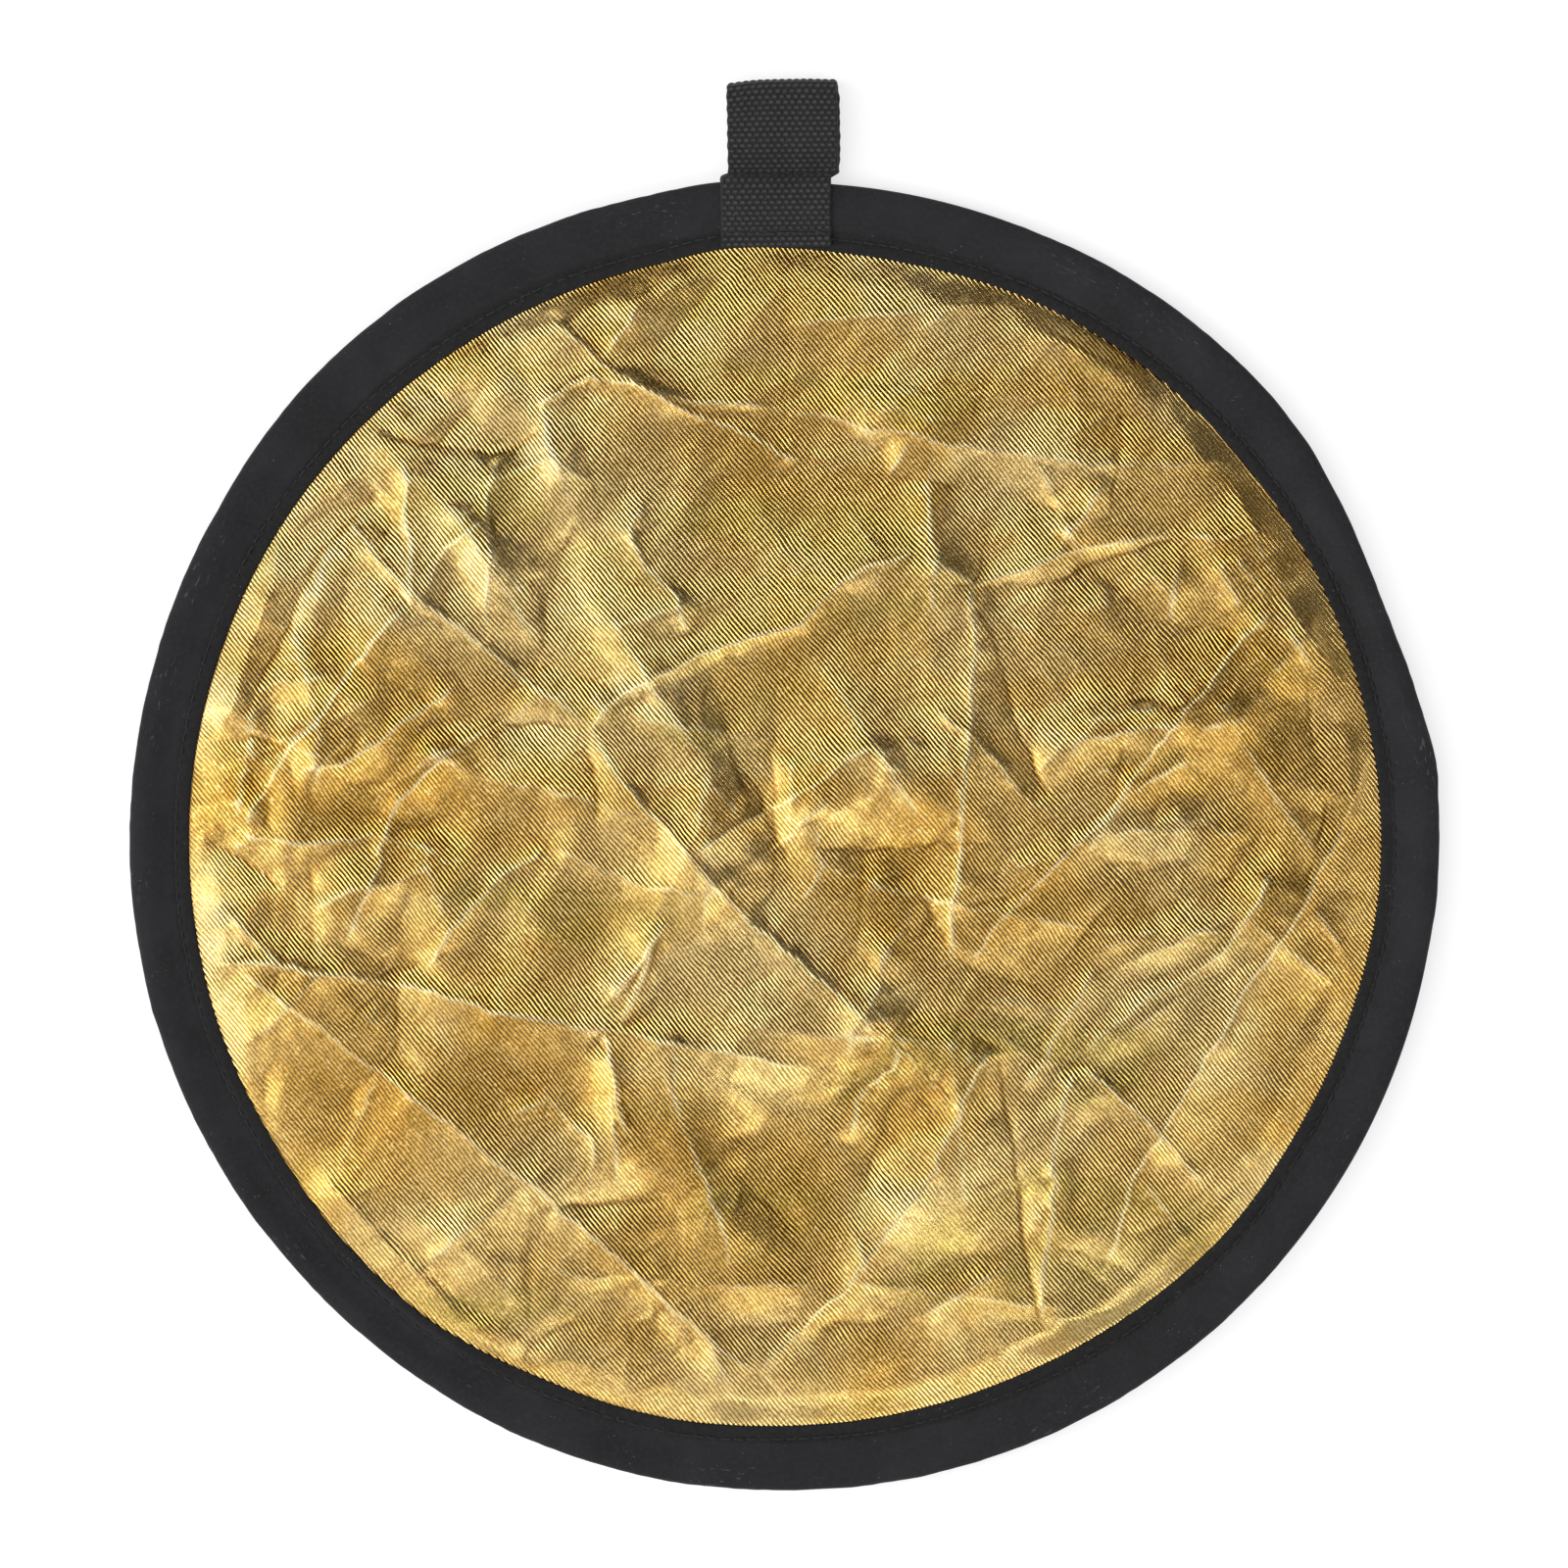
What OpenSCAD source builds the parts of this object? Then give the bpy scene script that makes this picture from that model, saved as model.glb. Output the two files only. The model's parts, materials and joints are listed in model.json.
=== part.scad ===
// Collapsible two-sided reflector disc, laid flat.
// Origin: the hoop's centre, in the middle of its thickness.
// +Z is the side the gold face looks to, +Y points to the hang strap.
// The spring hoop is drawn as 24 arcs in two arms, because it folds by bending all round.

/* [Rim] */
// Outside diameter of the rim
outer_diameter = 300; // [292:0.5:308]
// Width of the fabric binding, from the outside edge to its inner edge
binding_width = 13.9; // [13:0.1:15]
// Thickness of the binding over the spring band
binding_thickness = 5.2; // [5:0.1:6]
// Distance of the seam from the binding's inner edge
seam_inset = 3.1; // [2.6:0.1:3.4]
// Thickness of one turned-in lip of the binding at the seam
lip_thickness = 0.64; // [0.5:0.02:0.8]

/* [Spring band] */
// Width of the flat spring steel, across the disc's thickness
band_width = 3.6; // [3:0.1:3.6]
// Thickness of the flat spring steel
band_thickness = 0.7; // [0.4:0.05:0.75]
// How far the band's joint is flattened in from the round
flat_depth = 3.4; // [1:0.1:3.6]

/* [Band joint] */
// Length of the crimped ferrule at the band's joint
ferrule_length = 22; // [14:1:26]
// Wall of the ferrule
ferrule_wall = 0.2; // [0.1:0.02:0.22]

/* [Fabric] */
// Thickness of each reflecting fabric
fabric_thickness = 0.2; // [0.12:0.01:0.22]
// How far the fabrics reach past the seam into the binding
seam_allowance = 2.8; // [2:0.1:3]
// Diameter of the sewing thread round the rim
thread_diameter = 0.4; // [0.3:0.02:0.5]

/* [Hang strap] */
// Width of the webbing
webbing_width = 25; // [20:0.5:25.4]
// Thickness of the webbing
webbing_thickness = 1.2; // [1:0.05:1.3]
// Reach of the loop past its pinch line
loop_length = 20.6; // [18:0.2:26]
// Clear height inside the loop
loop_eye = 4.8; // [4.6:0.1:5.4]
// Angle of the strap round the rim
strap_angle = 90.7; // [90:0.1:91.5]

/* [Hidden] */
sides = 23;
step = 360 / sides;
joint_angle = 6.7;
twist_angle = joint_angle + 11.5 * step;
gap = 0.3;

r_out = outer_diameter / 2;
r_in = r_out - binding_width;
r_seam = r_in + seam_inset;
r_cloth = r_seam + seam_allowance;
half_t = binding_thickness / 2;
z_lip = 0.26 + lip_thickness;
slot_h = 0.26;
pocket_out = 0.5;
pocket_in = 2.0;
pocket_h = 2.15;
band_out = 0.8;
delta = gap / 2 / r_in * 180 / PI;
scarf = 1.6;

thread_r = thread_diameter / 2;
web = webbing_thickness;
leaf_top = half_t + 0.1 + web;
neck_r = r_out + 2.1;
neck_half = web + 0.05;
hinge_y = r_out + 2.9;
eye_half = loop_eye / 2;

black_cloth = [0.14, 0.14, 0.15];
black_web = [0.17, 0.17, 0.18];
steel = [0.62, 0.63, 0.65];
crimp = [0.72, 0.72, 0.73];
gold = [0.85, 0.62, 0.2];
silver = [0.78, 0.79, 0.8];
thread = [0.1, 0.1, 0.11];

function pol(r, a) = [r * cos(a), r * sin(a)];

// Where an arc starts and how far it goes round, in degrees.
// Arm l runs up from the twist point, arm u runs down from it.
function from_l(k) = k == 0 ? twist_angle : twist_angle + step * (k - 0.5);
function from_u(k) = k == 0 ? twist_angle - step / 2 : twist_angle - step * (k + 0.5);
function span(k) = k == 0 ? step / 2 : step;

// Corners of the outside where it is flattened at the band's joint.
p0 = pol(r_out, joint_angle);
p1 = pol(r_out - flat_depth, joint_angle + step);
p2 = pol(r_out, joint_angle + 2 * step);

// Binding outline, x measured in from the outside edge.
function binding_outline(x0) = [
    [x0 - binding_width, z_lip - 0.15],
    [x0 - binding_width + seam_inset, z_lip],
    [x0 - 7.4, 1.9],
    [x0 - 6, half_t - 0.1],
    [x0 - 4.6, half_t],
    [x0 - 1, half_t],
    [x0 - 0.35, half_t - 0.25],
    [x0, half_t - 0.85],
    [x0, -half_t + 0.85],
    [x0 - 0.35, -half_t + 0.25],
    [x0 - 1, -half_t],
    [x0 - 4.6, -half_t],
    [x0 - 6, -half_t + 0.1],
    [x0 - 7.4, -1.9],
    [x0 - binding_width + seam_inset, -z_lip],
    [x0 - binding_width, -z_lip + 0.15]
];

// The same outline where the hoop is flattened: steeper, so that it stays outside the seam.
function flat_outline(x0) = [
    [x0 - binding_width, z_lip - 0.15],
    [x0 - binding_width + seam_inset, z_lip],
    [x0 - 6.7, z_lip],
    [x0 - 5.6, half_t - 0.1],
    [x0 - 4.6, half_t],
    [x0 - 1, half_t],
    [x0 - 0.35, half_t - 0.25],
    [x0, half_t - 0.85],
    [x0, -half_t + 0.85],
    [x0 - 0.35, -half_t + 0.25],
    [x0 - 1, -half_t],
    [x0 - 4.6, -half_t],
    [x0 - 5.6, -half_t + 0.1],
    [x0 - 6.7, -z_lip],
    [x0 - binding_width + seam_inset, -z_lip],
    [x0 - binding_width, -z_lip + 0.15]
];

module box2(x0, x1, h) {
    translate([x0, -h]) square([x1 - x0, 2 * h]);
}

// A ring sector of a flat profile.
module sector(a, s) {
    rotate([0, 0, a]) rotate_extrude(angle = s) children();
}

// A straight run of a profile from p to q, x = 0 on the line and + outwards.
module run(p, q, extra) {
    d = q - p;
    l = norm(d);
    e = d / l;
    translate([q[0] + e[0] * extra, q[1] + e[1] * extra, 0])
        rotate([90, 0, atan2(-e[0], e[1])])
            linear_extrude(height = l + 2 * extra) children();
}

// What is cut off at the slanted joint of the band, half the gap from its plane.
// side = 1 is what lies in front of the plane, side = -1 what lies behind it.
module scarf_side(side) {
    rotate([0, 0, joint_angle])
        translate([r_out, 0, 0])
            rotate([90 - atan(1 / scarf), 0, 0])
                translate([-20, side > 0 ? -gap / 2 : gap / 2 - 30, -20])
                    cube([40, 30, 40]);
}

module rim_arc(a, s) {
    sector(a + delta, s - 2 * delta) difference() {
        polygon(binding_outline(r_out));
        box2(r_out - pocket_in, r_out - pocket_out, pocket_h);
        box2(r_in - 1, r_cloth + 0.35, slot_h);
    }
}

module band_arc(a, s) {
    sector(a + delta, s - 2 * delta)
        box2(r_out - band_out - band_thickness, r_out - band_out, band_width / 2);
}

// A flattened arc. Its inner lips stay round.
module rim_straight(p, q, a, s, from, to) {
    difference() {
        union() {
            intersection() {
                run(p, q, 6) polygon(flat_outline(0));
                sector(a + from, s + to - from) box2(r_in, r_out + 5, 5);
            }
            sector(a + from, s + to - from) polygon([
                [r_in, z_lip - 0.15], [r_seam, z_lip], [r_seam + 3, z_lip],
                [r_seam + 3, -z_lip], [r_seam, -z_lip], [r_in, -z_lip + 0.15]
            ]);
        }
        run(p, q, 12) box2(-pocket_in, -pocket_out, pocket_h);
        sector(a + from - 1, s + to - from + 2) box2(r_in - 3, r_cloth + 0.35, slot_h);
    }
}

module band_straight(p, q, a, s, from, to) {
    intersection() {
        run(p, q, 6) box2(-band_out - band_thickness, -band_out, band_width / 2);
        sector(a + from, s + to - from) box2(r_in, r_out + 5, 5);
    }
}

module rim_l(k) {
    color(black_cloth) rim_arc(from_l(k), span(k));
}

module rim_u(k) {
    color(black_cloth) rim_arc(from_u(k), span(k));
}

module band_l(k) {
    color(steel) band_arc(from_l(k), span(k));
}

module band_u(k) {
    color(steel) band_arc(from_u(k), span(k));
}

// The last arc of arm l runs on under the slanted cut.
module rim_l_end() {
    color(black_cloth) difference() {
        rim_arc(from_l(11), span(11) + 2);
        scarf_side(1);
    }
}

module band_l_end() {
    color(steel) difference() {
        band_arc(from_l(11), span(11) + 2);
        scarf_side(1);
    }
}

module rim_u_end() {
    color(black_cloth) difference() {
        rim_straight(p0, p1, joint_angle, step, -2, -delta);
        scarf_side(-1);
    }
}

module band_u_end() {
    color(steel) difference() {
        band_straight(p0, p1, joint_angle, step, -2, -delta);
        scarf_side(-1);
    }
}

module rim_u_flat() {
    color(black_cloth) rim_straight(p1, p2, joint_angle + step, step, delta, -delta);
}

module band_u_flat() {
    color(steel) band_straight(p1, p2, joint_angle + step, step, delta, -delta);
}

// Crimped ferrule, a flat tube pressed over the band's end.
module band_ferrule() {
    e = (p1 - p0) / norm(p1 - p0);
    color(crimp) run(p0 + e * 6, p0 + e * (6 + ferrule_length), 0) difference() {
        box2(-band_out - band_thickness - 0.06 - ferrule_wall, -band_out + 0.06 + ferrule_wall, band_width / 2 + 0.06 + ferrule_wall);
        box2(-band_out - band_thickness - 0.06, -band_out + 0.06, band_width / 2 + 0.06);
    }
}

module gold_face() {
    color(gold) translate([0, 0, 0.03]) cylinder(h = fabric_thickness, r = r_cloth, $fn = 180);
}

module silver_face() {
    color(silver) translate([0, 0, -0.03 - fabric_thickness]) cylinder(h = fabric_thickness, r = r_cloth, $fn = 180);
}

module seam_ring(z) {
    color(thread) rotate_extrude() translate([r_seam, z]) circle(r = thread_r, $fn = 24);
}

module seam_thread_front() {
    seam_ring(z_lip + thread_r + 0.05);
}

module seam_thread_back() {
    seam_ring(-z_lip - thread_r - 0.05);
}

// Half of the sewn strap, following the binding's outside.
module leaf_outline() {
    polygon([
        [r_in - 0.2, z_lip + 2 * thread_r + 0.15],
        [r_seam + 1.2, z_lip + 2 * thread_r + 0.15],
        [r_out - 7.6, 1.9 + 0.25],
        [r_out - 6, half_t + 0.08],
        [r_out - 1, half_t + 0.1],
        [r_out + 0.3, half_t - 0.3],
        [r_out + 0.35, 0.05],
        [neck_r, 0.05],
        [neck_r, neck_half],
        [r_out + 1, neck_half + 0.35],
        [r_out + 0.5, half_t + 0.5],
        [r_out - 0.6, leaf_top],
        [r_out - 6, leaf_top - 0.05],
        [r_out - 8.2, 1.9 + 0.3 + web],
        [r_seam + 0.9, z_lip + 2 * thread_r + 0.15 + web],
        [r_in - 0.2, z_lip + 2 * thread_r + 0.15 + web - 0.2]
    ]);
}

module strap_place() {
    rotate([0, 0, strap_angle])
        translate([0, webbing_width / 2, 0])
            rotate([90, 0, 0])
                linear_extrude(height = webbing_width) children();
}

module strap_leaf_front() {
    color(black_web) strap_place() leaf_outline();
}

module strap_leaf_back() {
    color(black_web) strap_place() mirror([0, 1]) leaf_outline();
}

// The webbing turned back on itself, a teardrop seen from its side.
loop_tip = hinge_y + loop_length - eye_half - web;

function loop_arc(o) = [for (i = [0:16]) [loop_tip + (eye_half + o) * cos(90 - i * 11.25), (eye_half + o) * sin(90 - i * 11.25)]];

module strap_loop() {
    color(black_web) strap_place() difference() {
        polygon(concat(
            [for (i = [0:8]) [hinge_y + 0.6 * cos(270 - i * 22.5), 0.6 * sin(270 - i * 22.5)]],
            [[hinge_y + 1.5, 1], [hinge_y + 3.2, web + 0.4], [hinge_y + 7.5, eye_half + web - 0.1]],
            loop_arc(web),
            [[hinge_y + 7.5, -eye_half - web + 0.1], [hinge_y + 3.2, -web - 0.4], [hinge_y + 1.5, -1]]
        ));
        polygon(concat(
            [[hinge_y + 2.2, 0.03], [hinge_y + 3.2, 0.4], [hinge_y + 7.5, eye_half - 0.1]],
            loop_arc(0),
            [[hinge_y + 7.5, -eye_half + 0.1], [hinge_y + 3.2, -0.4], [hinge_y + 2.2, -0.03]]
        ));
    }
}

// Thread rows of the strap: across the leaves by the seam, and by the pinch line.
module strap_stitches() {
    n = 9;
    pitch = (webbing_width - 3) / n;
    color(thread) rotate([0, 0, strap_angle]) for (side = [-1, 1]) for (i = [0:n - 1]) {
        y = -webbing_width / 2 + 1.5 + pitch * (i + 0.14);
        translate([r_in + 2.2, y, side * (z_lip + 2 * thread_r + 0.15 + web + 0.22)])
            rotate([-90, 0, 0]) cylinder(h = pitch * 0.72, r = 0.2, $fn = 16);
        translate([r_out + 1.55, y, side * (neck_half + 0.48)])
            rotate([-90, 0, 0]) cylinder(h = pitch * 0.72, r = 0.2, $fn = 16);
    }
}

gold_face();
silver_face();
seam_thread_front();
seam_thread_back();
rim_l(0);  // rim_l00
rim_l(1);  // rim_l01
rim_l(2);  // rim_l02
rim_l(3);  // rim_l03
rim_l(4);  // rim_l04
rim_l(5);  // rim_l05
rim_l(6);  // rim_l06
rim_l(7);  // rim_l07
rim_l(8);  // rim_l08
rim_l(9);  // rim_l09
rim_l(10);  // rim_l10
rim_l_end();  // rim_l11
rim_u(0);  // rim_u00
rim_u(1);  // rim_u01
rim_u(2);  // rim_u02
rim_u(3);  // rim_u03
rim_u(4);  // rim_u04
rim_u(5);  // rim_u05
rim_u(6);  // rim_u06
rim_u(7);  // rim_u07
rim_u(8);  // rim_u08
rim_u(9);  // rim_u09
rim_u_flat();  // rim_u10
rim_u_end();  // rim_u11
band_l(0);  // band_l00
band_l(1);  // band_l01
band_l(2);  // band_l02
band_l(3);  // band_l03
band_l(4);  // band_l04
band_l(5);  // band_l05
band_l(6);  // band_l06
band_l(7);  // band_l07
band_l(8);  // band_l08
band_l(9);  // band_l09
band_l(10);  // band_l10
band_l_end();  // band_l11
band_u(0);  // band_u00
band_u(1);  // band_u01
band_u(2);  // band_u02
band_u(3);  // band_u03
band_u(4);  // band_u04
band_u(5);  // band_u05
band_u(6);  // band_u06
band_u(7);  // band_u07
band_u(8);  // band_u08
band_u(9);  // band_u09
band_u_flat();  // band_u10
band_u_end();  // band_u11
band_ferrule();
strap_leaf_front();
strap_leaf_back();
strap_loop();
strap_stitches();
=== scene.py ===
# Looks of the collapsible reflector disc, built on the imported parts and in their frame.
# The disc lies flat in XY, gold cloth up (+Z), hang strap towards +Y. Lengths below are in mm
# unless a name says otherwise; meshes are made in metres.
import json
import math

import bpy
import numpy as np
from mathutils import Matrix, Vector


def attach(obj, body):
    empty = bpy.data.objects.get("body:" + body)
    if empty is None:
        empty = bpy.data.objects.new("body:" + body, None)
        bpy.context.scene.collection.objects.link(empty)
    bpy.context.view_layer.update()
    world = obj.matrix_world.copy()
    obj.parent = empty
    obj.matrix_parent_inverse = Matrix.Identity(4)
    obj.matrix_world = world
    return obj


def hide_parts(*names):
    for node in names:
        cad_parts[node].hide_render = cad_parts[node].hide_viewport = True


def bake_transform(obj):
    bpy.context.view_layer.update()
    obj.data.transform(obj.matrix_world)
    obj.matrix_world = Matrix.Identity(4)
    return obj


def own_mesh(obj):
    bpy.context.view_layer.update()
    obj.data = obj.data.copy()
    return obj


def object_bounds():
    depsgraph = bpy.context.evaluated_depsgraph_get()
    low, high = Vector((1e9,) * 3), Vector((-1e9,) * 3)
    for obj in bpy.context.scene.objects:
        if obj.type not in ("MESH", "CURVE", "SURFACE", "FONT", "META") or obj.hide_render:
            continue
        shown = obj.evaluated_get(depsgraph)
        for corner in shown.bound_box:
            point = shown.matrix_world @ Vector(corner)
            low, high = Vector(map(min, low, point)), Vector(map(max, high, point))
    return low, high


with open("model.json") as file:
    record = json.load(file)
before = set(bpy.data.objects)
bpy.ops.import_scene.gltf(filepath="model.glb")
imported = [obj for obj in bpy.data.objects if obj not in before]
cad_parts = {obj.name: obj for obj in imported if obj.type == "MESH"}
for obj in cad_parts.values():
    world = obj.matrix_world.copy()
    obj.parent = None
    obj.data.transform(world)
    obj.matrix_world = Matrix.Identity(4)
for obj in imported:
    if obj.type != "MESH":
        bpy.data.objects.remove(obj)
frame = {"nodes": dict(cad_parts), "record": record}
CAD_LO, CAD_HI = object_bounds()
REC = frame["record"]
MM = 0.001
TAU = 2 * math.pi
rng = np.random.default_rng(11)

# ---------------------------------------------------------------- layout from the record
JOINTS = {j["name"]: j for j in REC["behaviour"]["joints"]}


def polar(p):
    return math.degrees(math.atan2(p[1], p[0])) % 360


TWIST = polar(JOINTS["ring_twist"]["pos_m"])
STEP = polar(JOINTS["bend_l02"]["pos_m"]) - polar(JOINTS["bend_l01"]["pos_m"])
OPENING = TWIST - 11.5 * STEP
STRAP = polar(JOINTS["strap_flap"]["pos_m"])
HINGE_Y = math.hypot(*JOINTS["strap_flap"]["pos_m"][:2]) / MM

SPAN = {"arc_l00": (TWIST, TWIST + STEP / 2), "arc_u00": (TWIST - STEP / 2, TWIST)}
for k in range(1, 12):
    SPAN["arc_l%02d" % k] = (TWIST + STEP * (k - 0.5), TWIST + STEP * (k + 0.5))
    SPAN["arc_u%02d" % k] = (TWIST - STEP * (k + 0.5), TWIST - STEP * (k - 0.5))
# the arcs in the order they stand round the hoop, from the opening and back to it
ORDER = ["arc_u%02d" % k for k in range(11, -1, -1)] + ["arc_l%02d" % k for k in range(12)]

# ---------------------------------------------------------------- small helpers


def smooth(a, b, x):
    t = np.clip((x - a) / (b - a), 0, 1)
    return t * t * (3 - 2 * t)


def hash2(ix, iy, seed):
    h = (ix.astype(np.int64) * 374761393 + iy.astype(np.int64) * 668265263 + seed * 974634777) & 0xFFFFFFFF
    h = ((h ^ (h >> 13)) * 1274126177) & 0xFFFFFFFF
    return ((h ^ (h >> 16)) & 0xFFFFFF) / float(0xFFFFFF) * 2 - 1


def vnoise(x, y, seed):
    """Value noise from -1 to 1 with one cell a unit."""
    fx, fy = np.floor(x), np.floor(y)
    ix, iy = fx.astype(np.int64), fy.astype(np.int64)
    u, v = x - fx, y - fy
    u, v = u * u * u * (u * (u * 6 - 15) + 10), v * v * v * (v * (v * 6 - 15) + 10)
    a, b = hash2(ix, iy, seed), hash2(ix + 1, iy, seed)
    c, d = hash2(ix, iy + 1, seed), hash2(ix + 1, iy + 1, seed)
    return (a * (1 - u) + b * u) * (1 - v) + (c * (1 - u) + d * u) * v


def make(name, verts_mm, faces, mats, normals=None, index=None, shade=True):
    """A mesh object from points in mm. faces is a list of index arrays, all quads or all tris."""
    mesh = bpy.data.meshes.new(name)
    v = np.asarray(verts_mm, np.float64) * MM
    loops = np.concatenate([np.asarray(f, np.int64).ravel() for f in faces])
    sizes = np.concatenate([np.full(len(f), np.asarray(f).shape[1]) for f in faces])
    mesh.vertices.add(len(v))
    mesh.vertices.foreach_set("co", v.astype(np.float32).ravel())
    mesh.loops.add(len(loops))
    mesh.loops.foreach_set("vertex_index", loops.astype(np.int32))
    mesh.polygons.add(len(sizes))
    mesh.polygons.foreach_set("loop_start", (np.cumsum(sizes) - sizes).astype(np.int32))
    mesh.polygons.foreach_set("loop_total", sizes.astype(np.int32))
    for m in mats:
        mesh.materials.append(m)
    if index is not None:
        mesh.polygons.foreach_set("material_index", np.asarray(index, np.int32))
    mesh.polygons.foreach_set("use_smooth", np.full(len(sizes), shade))
    mesh.update(calc_edges=True)
    mesh.validate()
    if normals is not None:
        mesh.normals_split_custom_set_from_vertices(np.asarray(normals, np.float64).tolist())
    o = bpy.data.objects.new(name, mesh)
    bpy.context.scene.collection.objects.link(o)
    return o


def grid_faces(nu, nv, wrap_u=False, flip=False, start=0):
    """Quads of a grid of nu rows by nv columns of points, row-major."""
    rows = np.arange(nu if wrap_u else nu - 1)
    i, j = np.meshgrid(rows, np.arange(nv - 1), indexing="ij")
    i2 = (i + 1) % nu
    q = np.stack([i * nv + j, i2 * nv + j, i2 * nv + j + 1, i * nv + j + 1], -1).reshape(-1, 4)
    return (q[:, ::-1] if flip else q) + start


def place(r, deg, z):
    a = np.radians(deg)
    return np.stack([r * np.cos(a), r * np.sin(a), z + 0 * r * a], -1)


# ---------------------------------------------------------------- outlines of the rim
# (angle, how far the outside edge stands out from 150 mm, how far the lip stands in from 135.7 mm)
OUTLINE = [
    (0, -0.1, 0.9), (3.5, -0.05, 0.85), (6.4, -0.05, 0.8), (7.6, -0.4, 0.7), (12, -1.75, 0.35), (17, -2.85, 0.25), (22.3, -3.15, 0.1),
    (27, -2.6, 0.1), (32, -1.55, 0), (37.2, -0.3, -0.1), (42, 0.35, -0.1), (54, 0.3, -0.3), (66, -0.1, -0.6),
    (77, -0.75, -1.6), (84.5, -0.7, -1.6), (90, 0.0, -1.0), (96, 0.75, -0.4), (102, 0.0, -1.6), (114, 0.5, -1.5),
    (126, 0.75, -1.2), (138, 0.85, -0.6), (150, -0.1, 0), (162, -0.2, 0.3), (174, 0.0, 0.8), (186, 0.25, 1.0),
    (198, 0.25, 1.2), (210, -0.1, 0.8), (222, -0.2, 1.6), (234, -0.1, 2.0), (246, 0.25, 0.5), (258, 0.25, 0.5),
    (270, -0.1, -0.5), (282, 0.05, -0.8), (294, 0.0, -0.9), (306, 0.0, -0.4), (318, -0.2, 0.4), (330, -0.75, -0.2),
    (342, -0.65, 0.2), (354, 0.0, 1.0), (360, -0.1, 0.9),
]
_a = np.array([p[0] for p in OUTLINE], float)
_o = np.array([p[1] for p in OUTLINE], float)
_i = np.array([p[2] for p in OUTLINE], float)


def _table(values, width):
    """The outline's values at every 0.1 degree, rounded over width degrees."""
    at = np.arange(3600) / 10
    v = np.interp(at, _a, values)
    k = max(1, int(width * 10))
    w = np.hanning(2 * k + 1)
    w /= w.sum()
    return np.convolve(np.concatenate([v[-k:], v, v[:k]]), w, "valid")


OUT_T, OUT_SHARP, IN_T = _table(_o, 2.6), _table(_o, 0.5), _table(_i, 4.0)


def _look(table, deg):
    x = (np.asarray(deg, float) % 360) * 10
    i = np.floor(x).astype(int) % 3600
    f = x - np.floor(x)
    return table[i] * (1 - f) + table[(i + 1) % 3600] * f


def r_outer(deg):
    """The outside edge; the corner at the band's joint is kept sharper than the rest."""
    d = (np.asarray(deg, float) - OPENING + 180) % 360 - 180
    s = np.exp(-((d / 4.5) ** 2))
    return 150.0 + _look(OUT_T, deg) * (1 - s) + _look(OUT_SHARP, deg) * s


def r_lip(deg):
    return 135.7 + _look(IN_T, deg)


SEAM_IN = 3.0  # the seam from the lip's edge


def ring_noise(deg, cells, seed):
    """Noise round the ring with this many cells a turn, without a step at 360 degrees."""
    x = (np.asarray(deg, float) % 360) / 360 * cells
    return vnoise_wrap(x, cells, seed)


def vnoise_wrap(x, cells, seed):
    fx = np.floor(x)
    ix = fx.astype(np.int64) % cells
    u = x - fx
    u = u * u * u * (u * (u * 6 - 15) + 10)
    z = np.zeros_like(ix)
    return hash2(ix, z, seed) * (1 - u) + hash2((ix + 1) % cells, z, seed) * u


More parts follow.
